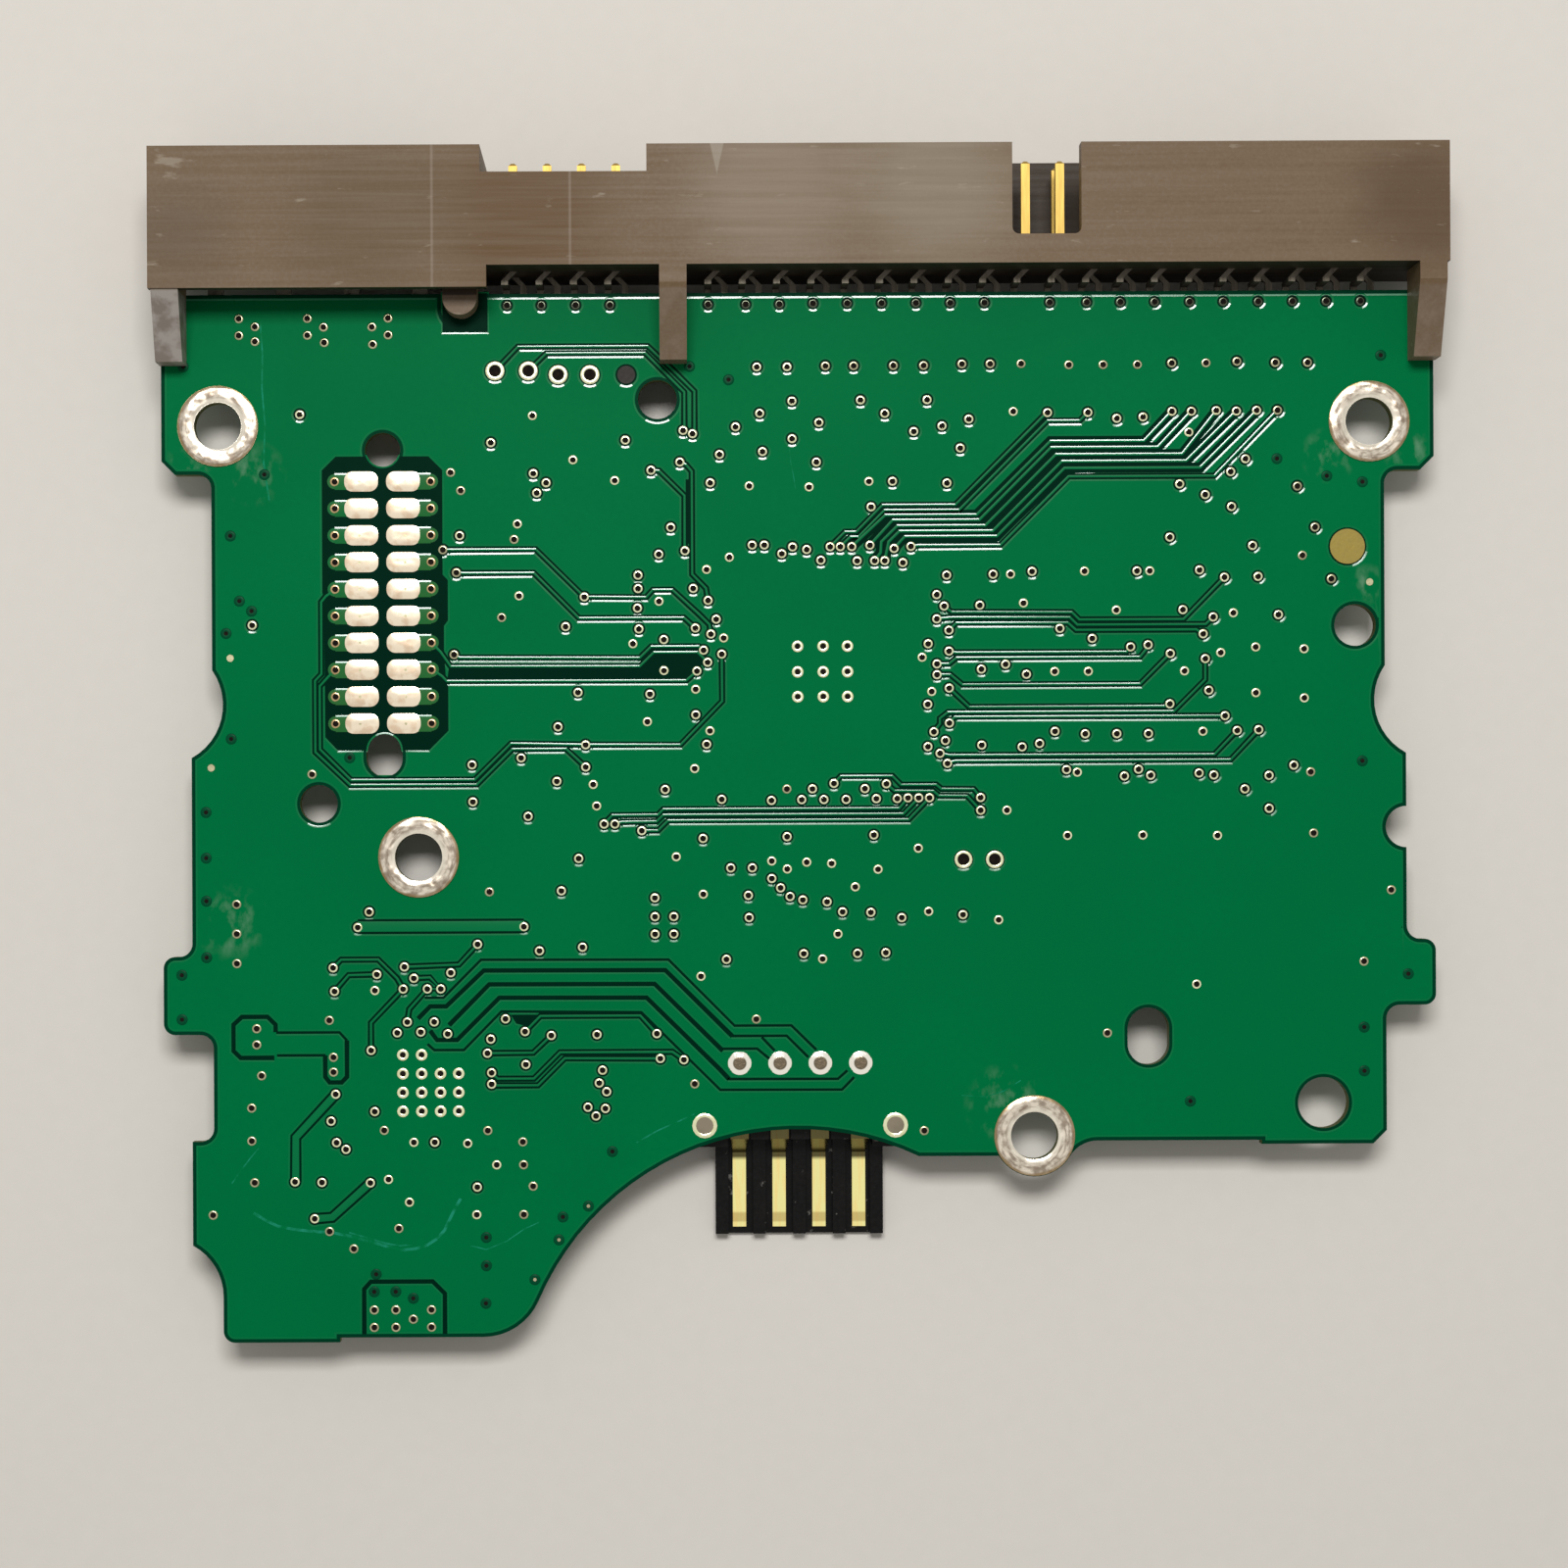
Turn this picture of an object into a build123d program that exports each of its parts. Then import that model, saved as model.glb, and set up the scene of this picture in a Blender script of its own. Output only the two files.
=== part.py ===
from build123d import *
import os

# Controller board of a 3.5-inch hard drive, lying component side down.
# +X runs along the interface connector, +Y points out of its sockets and +Z is up, towards the
# bare side with the contact pads. The origin is under the middle of the part, at rest level.

# ---- Interface connector: power, jumper and drive bus sockets side by side ----
housing_height = 8.9
housing_depth = 8.8
housing_wall = 1.4              # behind the sockets' floors
housing_gap = 1.4               # from the board's front edge to the housing's back
middle_to_face = 0.05           # from the connector's middle level up to the board's bare face
row_spacing = 2.54
column_pitch = 2.54
socket_level_room = 1.78        # from a row of pins to the socket's wall over or under it

power_pins_count = 4
power_pitch = 5.08
power_end_room = 2.83           # from the last pin of a socket to the socket's end
power_socket_height = 6.6
power_corner_cut = 2.0
jumper_columns = 4
jumper_end_room = 1.89
jumper_recess_depth = 2.0
jumper_recess_margin = 0.4      # recess wider than the socket, at each side
drive_bus_columns = 20
missing_pin_column = 9          # columns in front of the one with no lower pin
drive_bus_end_room = 1.97
key_width = 5.05
key_length = 6.7
key_corner_radius = 0.5

power_end_wall = 1.4            # walls beside and between the sockets, from left to right
power_jumper_wall = 2.4
jumper_bus_wall = 3.55
bus_end_wall = 3.35

brow_depth = 1.6                # roof over the power pins' tails
brow_thickness = 0.9
brow_past_peg = 2.1
brace_width = 2.0
brace_inset = 1.2               # from the housing's ends to the middle of the outer braces
middle_brace_offset = 8.0       # from the middle of the jumper socket
brace_reach = 6.65
brace_flat = 1.3
brace_end_height = 2.1
peg_offset = 10.8               # from the middle of the power socket
peg_width = 2.55
peg_reach = 3.25
peg_top_height = 2.0
peg_clearance = 0.25
peg_end_clearance = 0.7

# ---- Circuit board ----
board_thickness = 1.1
board_front_edge = 33.85        # edge that the interface connector sits against
housing_overhang = 0.3          # housing longer than the board's ears, at each end
waist_step = 3.7                # how far the sides step in from the ears
flank_step = 2.15
foot_step = 2.1
upper_ear_length = 13.35
upper_ear_chamfer = 1.0
side_boss_y = 3.4               # round clearances for the bosses of the drive's casting
side_boss_radius = 4.5
lower_left_ear = (-21.15, -15.35)
lower_right_ear = (-19.3, -14.4)
foot_front = -29.1              # the left foot is the stretch that reaches furthest back
rear_edge = -44.05
rear_edge_step = 0.35
rear_step_x = -34.3
rear_boss_x = -47.25
rear_boss_offset = 3.45         # from the rear edge
rear_boss_radius = 4.3
heel_width = 4.3                # how far the foot steps in behind the rear boss
spindle_x = -0.25
spindle_arc_front = -28.35      # arc that clears the spindle motor
spindle_radius = 21.0
foot_corner_radius = 4.5
right_rim_offset = 0.4          # right rim's edges, behind the screw hole beside them
right_rear_offset = 1.5
right_rim_step = 0.3
right_rim_step_x = 34.3
ear_corner_radius = 0.85
lobe_blend_radius = 2.4
inner_corner_radius = 1.0
side_notch_y = -6.05
side_notch_radius = 1.53

# Screw holes: the first two take the screws beside the connector.
screw_hole_radius = 1.765
front_screw_offset = 9.75       # behind the board's front edge
front_screws_x = (-43.1, 42.5)
middle_screw = (-28.3, -8.0)
rear_screw = (17.4, -28.9)
screw_lobe_radius = 3.05
screw_land_radius = 3.0
screw_land_height = 0.12

# Holes for the casting's locating pins and bosses: x, y, radius
locating_holes = [(-30.85, 22.25, 1.32), (-10.4, 25.95, 1.45), (-35.7, -4.0, 1.4),
                  (41.4, 8.95, 1.55), (38.9, -26.55, 1.9)]
# Slots: x, y, width along X, length along Y
locating_slots = [(-30.8, -0.35, 2.7, 3.3), (25.9, -21.55, 3.1, 4.25)]

# ---- Pads on the bare side ----
pad_thickness = 0.08
head_pad_rows = 10
head_pad_pitch = 2.0
head_pad_length = 2.55
head_pad_width = 1.5
head_pad_gap = 0.6              # between the round ends of the two columns
head_pads_centre = (-30.9, 10.95)
round_pad = (40.85, 14.8)
round_pad_radius = 1.3

# ---- Connector pins ----
pin_size = 0.64
pin_tip_gap = 0.8               # from the tips to the housing's front
pin_tip_chamfer = 0.2
tail_width = 0.5
tail_thickness = 0.3
tail_jog = 0.635                # sideways offset that makes one row of feet out of two rows
tail_jog_depth = 0.65
tail_foot_length = 1.55
power_pin_radius = 1.05
power_pin_tip_length = 0.6
power_pin_tip_radius = 0.55
power_pin_tip_gap = 1.6
power_tail_width = 1.17
power_tail_thickness = 0.4

# ---- Motor connector: lengths run rearwards from its front face ----
motor_body_offset = 6.05        # from the spindle arc forwards to the front face
motor_block_length = 6.9
motor_tray_length = 7.3
motor_tray_floor = 0.45
motor_rib_height = 1.15
motor_rib_width = 0.95
motor_end_wall = 0.975
contact_count = 4
contact_pitch = 3.0
contact_row_setback = 1.13
contact_tail_width = 0.8
contact_tail_depth = 0.5
contact_width = 1.0
contact_root_width = 1.35
contact_thickness = 0.25
contact_drop_length = 1.2       # along Y, where the blade comes down to the tray
contact_end_gap = 0.5           # from the blade's tip to the tray's end
contact_exit_depth = 0.35       # below the board's underside
contact_slot_clearance = 0.15
solder_radius = 0.87
solder_crown_radius = 0.4
solder_height = 0.18
motor_peg_offset = 0.8          # from the body's side
motor_peg_setback = 5.75
motor_peg_radius = 0.48
motor_lug_width = 3.4
motor_lug_height = 1.6

# ---- Parts on the component side ----
lead_thickness = 0.15
lead_knee_share = 0.45          # of a lead's reach, where it comes down to the board
body_draft = 8                  # degrees, on the sides of moulded packages
stand_off = 0.1

# Packages: middle, body length, width and height, reach of the leads, their pitch and width
controller_place = (1.7, 5.65)
controller_body = (14.0, 14.0, 1.5)
controller_lead_sizes = (1.0, 0.8, 0.35)
controller_leads_per_side = 16
memory_place = (22.5, 6.5)
memory_body = (18.4, 10.2, 1.1)
memory_lead_sizes = (0.8, 0.8, 0.32)
memory_leads_per_side = 22
motor_driver_place = (-27.6, -24.8)
motor_driver_body = (7.0, 7.0, 1.5)
motor_driver_lead_sizes = (1.0, 0.8, 0.35)
motor_driver_leads_per_side = 8
flash_place = (-17.5, 17.5)
flash_body = (4.9, 3.9, 1.6)
flash_lead_sizes = (1.05, 1.27, 0.42)
flash_leads_per_side = 4

regulator_body = (6.5, 3.5, 1.7)
regulator_reach = 1.75
regulator_pitch = 2.3
regulator_lead_width = 0.75
regulator_tab_width = 3.0
regulator_places = [(-10.1, -12.5, 90), (12.5, -18.0, 0)]

# Parts that stand alone: length, width and height
surge_diode_size = (4.4, 3.6, 2.3)
surge_diode_clip = (0.25, 2.1, 1.3)
surge_diode_offset = 5.45       # behind the board's front edge
surge_diodes_x = (-38.6, -33.2)
tantalum_size = (7.3, 4.3, 2.9)
tantalum_bevel = 0.5
tantalum_places = [(-26.8, 26.6, 90), (-37.5, -12.2, 0), (-16.0, -25.2, 90)]
inductor_size = (5.2, 5.2, 3.0)
inductor_corner_cut = 1.1
inductor_places = [(-38.6, -24.8, 0), (-28.2, -37.0, 0)]
crystal_size = (5.0, 3.2, 1.3)
crystal_base_height = 0.5
crystal_lid_margin = 0.25
crystal_place = (13.4, -12.3, 0)
shock_sensor_size = (6.4, 2.8, 1.2)
shock_sensor_place = (33.0, -13.5, 45)
resistor_array_size = (3.2, 1.6, 0.6)
resistor_array_offset = 3.45    # behind the board's front edge
resistor_array_first_x = 2.5
resistor_array_spacing = 4.3
resistor_array_count = 9

large_chip_size = (3.2, 1.6, 1.4)
large_chip_places = [(-41.0, 16.0, 90), (-35.9, -19.2, 0), (-20.5, -33.4, 90), (-35.2, -30.8, 0),
                     (10.0, -23.6, 90), (30.8, -19.2, 0)]
small_chip_size = (1.6, 0.8, 0.8)
small_chip_places = [
    (-8.5, 10.0, 90), (-8.5, 5.6, 90), (-8.5, 1.2, 90), (-3.0, -4.4, 0), (1.6, -4.4, 0), (6.2, -4.4, 0),
    (-2.8, 15.6, 0), (1.7, 15.6, 0), (6.2, 15.6, 0), (15.0, 14.4, 0), (22.5, 14.4, 0), (30.0, 14.4, 0),
    (15.0, -1.4, 0), (22.5, -1.4, 0), (30.0, -1.4, 0), (-34.2, -22.6, 90), (-34.2, -27.0, 90),
    (-21.2, -22.0, 90), (-21.2, -27.4, 90), (-28.0, -18.7, 0), (-37.6, 18.4, 90), (-37.6, 12.4, 90),
    (-37.6, 6.4, 90), (-23.6, 14.6, 0), (-11.4, 17.6, 90), (36.8, 2.4, 90), (36.8, -4.0, 90)]
resistor_size = (1.6, 0.8, 0.45)
resistor_places = [
    (-11.4, 10.0, 90), (-11.4, 7.2, 90), (-11.4, 4.4, 90), (-11.4, 1.6, 90), (-17.8, 10.4, 0),
    (-17.8, 8.2, 0), (-17.8, 6.0, 0), (-17.8, 3.8, 0), (-24.2, 9.0, 90), (-24.2, 4.0, 90),
    (10.6, 18.6, 45), (13.4, 21.4, 45), (16.2, 24.2, 45), (36.8, 9.0, 90), (36.8, 13.4, 90),
    (5.0, -9.6, 0), (5.0, -12.4, 0), (5.0, -15.2, 0), (-2.0, -12.0, 90), (-2.0, -16.6, 90),
    (19.4, -10.8, 90), (22.4, -10.8, 90), (25.4, -10.8, 90), (38.6, -20.0, 90)]

# ---- Levels and places that follow from the sizes above ----
mid_level = housing_height / 2
board_face = mid_level + middle_to_face
board_underside = board_face - board_thickness

power_half = (power_pins_count - 1) * power_pitch / 2 + power_end_room
jumper_half = (jumper_columns - 1) * column_pitch / 2 + jumper_end_room
drive_bus_half = (drive_bus_columns - 1) * column_pitch / 2 + drive_bus_end_room
socket_height = row_spacing + 2 * socket_level_room
housing_half = (power_half + jumper_half + drive_bus_half
                + (power_end_wall + power_jumper_wall + jumper_bus_wall + bus_end_wall) / 2)
power_x = -housing_half + power_end_wall + power_half
jumper_x = power_x + power_half + power_jumper_wall + jumper_half
drive_bus_x = housing_half - bus_end_wall - drive_bus_half
housing_rear = board_front_edge + housing_gap
housing_front = housing_rear + housing_depth
floor_y = housing_rear + housing_wall
brace_places = [-housing_half + brace_inset, jumper_x + middle_brace_offset, housing_half - brace_inset]
peg_x = power_x + peg_offset
peg_end_y = housing_rear - peg_reach

ear_half_width = housing_half - housing_overhang
waist_half_width = ear_half_width - waist_step
flank_half_width = ear_half_width - flank_step
foot_half_width = ear_half_width - foot_step
upper_ear_rear = board_front_edge - upper_ear_length
rear_boss = (rear_boss_x, rear_edge + rear_boss_offset)
spindle_centre = (spindle_x, spindle_arc_front - spindle_radius)
screw_holes = [(x, board_front_edge - front_screw_offset) for x in front_screws_x]
screw_holes += [middle_screw, rear_screw]
right_rim_edge = rear_screw[1] - right_rim_offset
right_rear_edge = rear_screw[1] - right_rear_offset

motor_body_front = spindle_arc_front + motor_body_offset
motor_block_rear = motor_body_front - motor_block_length
motor_tray_rear = motor_block_rear - motor_tray_length
contact_row_y = motor_body_front - contact_row_setback
contact_drop_end = motor_block_rear - contact_drop_length
contact_tip_y = motor_tray_rear + contact_end_gap
motor_half = ((contact_count - 1) * contact_pitch / 2 + contact_root_width / 2
              + contact_slot_clearance + motor_end_wall)
motor_pegs = [(side * (motor_half + motor_peg_offset), motor_body_front - motor_peg_setback)
              for side in (-1, 1)]
tail_foot_end = board_front_edge - tail_foot_length


def block(x_range, y_range, z_range):
    """A box between the given limits."""
    size = [high - low for low, high in (x_range, y_range, z_range)]
    middle = [(high + low) / 2 for low, high in (x_range, y_range, z_range)]
    return Pos(*middle) * Box(*size)


def band(x_range, y_range):
    """A flat rectangle between the given limits."""
    size = [high - low for low, high in (x_range, y_range)]
    middle = [(high + low) / 2 for low, high in (x_range, y_range)]
    return Pos(*middle) * Rectangle(*size)


def corner(sketch, x, y):
    """The corner of a flat shape that lies nearest to a point."""
    return sketch.vertices().sort_by_distance((x, y, 0))[0]


def rounded(sketch, places, radius):
    """Rounds the corners of a flat shape nearest to the given points."""
    for x, y in places:
        sketch = fillet(corner(sketch, x, y), radius)
    return sketch


def export(name, shape):
    """Writes one named piece."""
    shape.label = name
    export_step(shape, f"parts/{name}.step")


def board_outline():
    """The board's outline, from bands across it and the round clearances cut out of them."""
    ear_left, ear_right = lower_left_ear, lower_right_ear
    rim = band((0, waist_half_width), (right_rim_edge, ear_right[0]))
    step = band((right_rim_step_x, waist_half_width), (right_rim_edge - right_rim_step, ear_right[0]))
    lobe_x, lobe_y = rear_screw
    outline = band((-ear_half_width, ear_half_width), (upper_ear_rear, board_front_edge))
    outline += band((-waist_half_width, waist_half_width), (ear_left[1], upper_ear_rear))
    outline += band((-flank_half_width, flank_half_width), (ear_left[1], side_boss_y))
    outline += band((-ear_half_width, 0), ear_left)
    outline += band((0, ear_half_width), ear_right)
    outline += band((-waist_half_width, 0), (foot_front, ear_left[1]))
    outline += rim + step
    outline += band((0, lobe_x), (right_rear_edge, ear_right[0]))
    outline += Pos(lobe_x, lobe_y) * Circle(screw_lobe_radius)
    outline += band((-foot_half_width, 0), (rear_edge + rear_edge_step, foot_front))
    outline += band((rear_boss[0] + heel_width, rear_step_x), (rear_edge, foot_front))
    outline -= band((-foot_half_width, rear_boss[0] + heel_width), (rear_edge, rear_boss[1]))
    outline -= Pos(*rear_boss) * Circle(rear_boss_radius)
    outline -= Pos(*spindle_centre) * Circle(spindle_radius)
    for side in (-1, 1):
        outline -= Pos(side * ear_half_width, side_boss_y) * Circle(side_boss_radius)
    outline -= Pos(flank_half_width, side_notch_y) * Circle(side_notch_radius)

    inner = [(-waist_half_width, ear_left[0]), (-waist_half_width, foot_front),
             (-flank_half_width, ear_left[1]), (waist_half_width, ear_right[0]),
             (flank_half_width, ear_right[1]), (-waist_half_width, upper_ear_rear),
             (waist_half_width, upper_ear_rear)]
    outer = [(-ear_half_width, y) for y in ear_left] + [(ear_half_width, y) for y in ear_right]
    outer.append((rear_boss[0] + heel_width, rear_edge))
    outline = rounded(outline, inner, inner_corner_radius)
    outline = rounded(outline, outer, ear_corner_radius)
    foot_corner = (spindle_centre[0] - spindle_radius, rear_edge + rear_edge_step)
    outline = rounded(outline, [foot_corner], foot_corner_radius)
    outline = rounded(outline, [(lobe_x + screw_lobe_radius, right_rim_edge)], lobe_blend_radius)
    rim_corner = (waist_half_width, right_rim_edge - right_rim_step)
    outline = chamfer(corner(outline, *rim_corner), upper_ear_chamfer)
    for side in (-1, 1):
        outline = chamfer(corner(outline, side * ear_half_width, upper_ear_rear), upper_ear_chamfer)
    return outline


def peg_notch():
    """Slot with a round end, open at the board's front edge, that takes the housing's peg."""
    radius = peg_width / 2 + peg_clearance
    centre_y = peg_end_y - peg_end_clearance + radius
    slot = band((peg_x - radius, peg_x + radius), (centre_y, housing_rear))
    return slot + Pos(peg_x, centre_y) * Circle(radius)


def make_circuit_board():
    """The board with its screw holes, locating holes and the holes of the motor connector."""
    sheet = board_outline() - peg_notch()
    for x, y in screw_holes:
        sheet -= Pos(x, y) * Circle(screw_hole_radius)
    for x, y, radius in locating_holes:
        sheet -= Pos(x, y) * Circle(radius)
    for x, y, width, length in locating_slots:
        sheet -= Pos(x, y) * Rot(0, 0, 90) * SlotOverall(length, width)
    for x in contact_places():
        sheet -= Pos(x, contact_row_y) * Rectangle(contact_tail_width, contact_tail_depth)
    for x, y in motor_pegs:
        sheet -= Pos(x, y) * Circle(motor_peg_radius)
    return Pos(0, 0, board_underside) * extrude(sheet, board_thickness)


def make_screw_lands():
    """Tinned copper rings round the screw holes, under the screws' heads."""
    land = extrude(Circle(screw_land_radius) - Circle(screw_hole_radius), screw_land_height)
    return Compound(children=[Pos(x, y, board_face) * land for x, y in screw_holes])


def make_head_contact_pads():
    """Two columns of pads that the head connector's spring pins press on."""
    x_middle, y_middle = head_pads_centre
    straight = head_pad_length - head_pad_width / 2
    flat = band((0, straight), (-head_pad_width / 2, head_pad_width / 2)) + Circle(head_pad_width / 2)
    pad = extrude(flat, pad_thickness)
    offset = head_pad_gap / 2 + head_pad_width / 2
    pads = []
    for row in range(head_pad_rows):
        y = y_middle + (row - (head_pad_rows - 1) / 2) * head_pad_pitch
        pads.append(Pos(x_middle + offset, y, board_face) * pad)
        pads.append(Pos(x_middle - offset, y, board_face) * Rot(0, 0, 180) * pad)
    return Compound(children=pads)


def make_round_contact_pad():
    """Gold-plated disc for a single spring pin."""
    return Pos(*round_pad, board_face + pad_thickness / 2) * Cylinder(round_pad_radius, pad_thickness)


def socket(x, half_width):
    """Rectangular socket for two rows of pins, open at the housing's front."""
    return block((x - half_width, x + half_width), (floor_y, housing_front),
                 (mid_level - socket_height / 2, mid_level + socket_height / 2))


def power_socket():
    """Power socket, with the two corners next to the component side cut off."""
    section = Rectangle(2 * power_half, power_socket_height)
    low = [corner(section, side * power_half, -power_socket_height / 2) for side in (-1, 1)]
    section = chamfer(low, power_corner_cut)
    front = Plane(origin=(power_x, housing_front, mid_level), x_dir=(1, 0, 0), z_dir=(0, -1, 0))
    return extrude(front * section, housing_front - floor_y)


def column_places(x_middle, columns):
    """Positions along X of a row of pins."""
    return [x_middle + (column - (columns - 1) / 2) * column_pitch for column in range(columns)]


def power_places():
    """Positions along X of the power pins."""
    return [power_x + (place - (power_pins_count - 1) / 2) * power_pitch
            for place in range(power_pins_count)]


def brace(x):
    """Leg that runs from the housing's back over the board and slopes down to its end."""
    top, end = housing_height, board_face + brace_end_height
    end_y = housing_rear - brace_reach
    side = [(housing_rear, board_face), (end_y, board_face), (end_y, end),
            (housing_rear - brace_flat, top), (housing_rear, top)]
    section = make_face(Polyline(side, close=True))
    return Pos(x + brace_width / 2) * extrude(Plane.YZ * section, -brace_width)


def make_interface_housing():
    """Moulded housing with the drive bus, jumper and power sockets, braces and peg."""
    housing = block((-housing_half, housing_half), (housing_rear, housing_front), (0, housing_height))
    housing += block((-housing_half, peg_x + brow_past_peg), (housing_rear - brow_depth, housing_rear),
                     (housing_height - brow_thickness, housing_height))
    for x in brace_places:
        housing += brace(x)
    peg_low, peg_high = board_underside, board_face + peg_top_height
    peg_straight = peg_end_y + peg_width / 2
    housing += block((peg_x - peg_width / 2, peg_x + peg_width / 2), (peg_straight, housing_rear),
                     (peg_low, peg_high))
    housing += Pos(peg_x, peg_straight, (peg_low + peg_high) / 2) * Cylinder(peg_width / 2,
                                                                             peg_high - peg_low)
    housing -= socket(drive_bus_x, drive_bus_half)
    housing -= socket(jumper_x, jumper_half)
    housing -= power_socket()

    recess_half = jumper_half + jumper_recess_margin
    housing -= block((jumper_x - recess_half, jumper_x + recess_half),
                     (housing_front - jumper_recess_depth, housing_front), (0, housing_height))
    key = band((drive_bus_x - key_width / 2, drive_bus_x + key_width / 2),
               (housing_front - key_length, housing_front))
    inner_corners = [(drive_bus_x + side * key_width / 2, housing_front - key_length)
                     for side in (-1, 1)]
    key = rounded(key, inner_corners, key_corner_radius)
    housing -= extrude(Pos(0, 0, mid_level) * key, housing_height)

    for x in column_places(drive_bus_x, drive_bus_columns) + column_places(jumper_x, jumper_columns):
        for level in (upper_row_level(), lower_row_level()):
            housing -= pin_hole(x, level)
    for x in power_places():
        housing -= power_strap(x)
    return housing


def upper_row_level():
    """Height of the upper row of pins."""
    return mid_level + row_spacing / 2


def lower_row_level():
    """Height of the lower row of pins."""
    return mid_level - row_spacing / 2


def pin_hole(x, level):
    """Hole in the housing's back that one square pin fills."""
    half = pin_size / 2
    return block((x - half, x + half), (housing_rear, housing_rear + housing_wall),
                 (level - half, level + half))


def square_pin(x, level):
    """Straight square pin with a chamfered tip, from the housing's back to inside the socket."""
    half = pin_size / 2
    pin = block((x - half, x + half), (housing_rear, housing_front - pin_tip_gap),
                (level - half, level + half))
    return chamfer(pin.faces().sort_by(Axis.Y)[-1].edges(), pin_tip_chamfer)


def tail_strip(x, jog, z_range):
    """Flat strip that leaves the housing's back and runs sideways."""
    half = tail_width / 2
    y_end = housing_rear - tail_jog_depth
    outline = [(x - half, housing_rear), (x + half, housing_rear), (x + jog + half, y_end),
               (x + jog - half, y_end)]
    return Pos(0, 0, z_range[0]) * extrude(make_face(Polyline(outline, close=True)),
                                           z_range[1] - z_range[0])


def tail_foot(x, y_start):
    """Foot that runs back under the board, for the solder."""
    return block((x - tail_width / 2, x + tail_width / 2), (tail_foot_end, y_start),
                 (board_underside - tail_thickness, board_underside))


def upper_pin(x):
    """Pin of the upper row: its tail runs to the left, drops and goes on under the board."""
    level = upper_row_level()
    strip_top = level + tail_thickness / 2
    foot_x = x - tail_jog
    y_drop = housing_rear - tail_jog_depth
    pin = square_pin(x, level) + tail_strip(x, -tail_jog, (strip_top - tail_thickness, strip_top))
    pin += block((foot_x - tail_width / 2, foot_x + tail_width / 2), (y_drop - tail_thickness, y_drop),
                 (board_underside - tail_thickness, strip_top))
    return pin + tail_foot(foot_x, y_drop)


def lower_pin(x):
    """Pin of the lower row: its tail runs to the right and goes on under the board."""
    strip_range = (board_underside - tail_thickness, board_underside)
    pin = square_pin(x, lower_row_level()) + tail_strip(x, tail_jog, strip_range)
    return pin + tail_foot(x + tail_jog, housing_rear - tail_jog_depth)


def power_strap(x):
    """Flat strap of a power pin, through the housing's back and out to the drop behind it."""
    half, thick = power_tail_width / 2, power_tail_thickness
    return block((x - half, x + half), (housing_rear - thick, floor_y),
                 (mid_level - thick / 2, mid_level + thick / 2))


def power_pin(x):
    """Round pin with a tapered tip and a flat tail that runs under the board."""
    tip_y = housing_front - power_pin_tip_gap
    shaft_length = tip_y - power_pin_tip_length - floor_y
    shaft = Cylinder(power_pin_radius, shaft_length, align=(Align.CENTER, Align.CENTER, Align.MIN))
    tip = Cone(power_pin_radius, power_pin_tip_radius, power_pin_tip_length,
               align=(Align.CENTER, Align.CENTER, Align.MIN))
    pin = Pos(x, floor_y, mid_level) * Rot(-90, 0, 0) * (shaft + Pos(0, 0, shaft_length) * tip)
    half, foot = power_tail_width / 2, board_underside - power_tail_thickness
    drop = block((x - half, x + half), (housing_rear - power_tail_thickness, housing_rear),
                 (foot, mid_level))
    tail = block((x - half, x + half), (tail_foot_end, housing_rear), (foot, board_underside))
    return pin + power_strap(x) + drop + tail


def contact_places():
    """Positions along X of the motor contacts."""
    return [(place - (contact_count - 1) / 2) * contact_pitch for place in range(contact_count)]


def make_motor_connector_body():
    """Moulded block under the board with a ribbed tray that reaches out past the spindle arc."""
    body = block((-motor_half, motor_half), (motor_block_rear, motor_body_front), (0, board_underside))
    body += block((-motor_half, motor_half), (motor_tray_rear, motor_block_rear), (0, motor_tray_floor))
    for side in (-1, 1):
        wall = sorted((side * motor_half, side * (motor_half - motor_end_wall)))
        body += block(wall, (motor_tray_rear, motor_block_rear), (0, motor_rib_height))
    for place in range(contact_count - 1):
        x = contact_places()[place] + contact_pitch / 2
        body += block((x - motor_rib_width / 2, x + motor_rib_width / 2),
                      (motor_tray_rear, motor_block_rear), (0, motor_rib_height))
    for x, y in motor_pegs:
        lug = block((x - motor_lug_width / 2, x + motor_lug_width / 2),
                    (y - motor_lug_width / 2, y + motor_lug_width / 2),
                    (board_underside - motor_lug_height, board_underside))
        body += lug
        body += Pos(x, y, board_face - board_thickness / 2) * Cylinder(motor_peg_radius, board_thickness)
    slot_half = contact_root_width / 2 + contact_slot_clearance
    slot_floor = board_underside - contact_exit_depth - contact_thickness - contact_slot_clearance
    for x in contact_places():
        body -= block((x - slot_half, x + slot_half), (motor_block_rear, contact_row_y + slot_half),
                      (slot_floor, board_underside))
    return body


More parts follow.
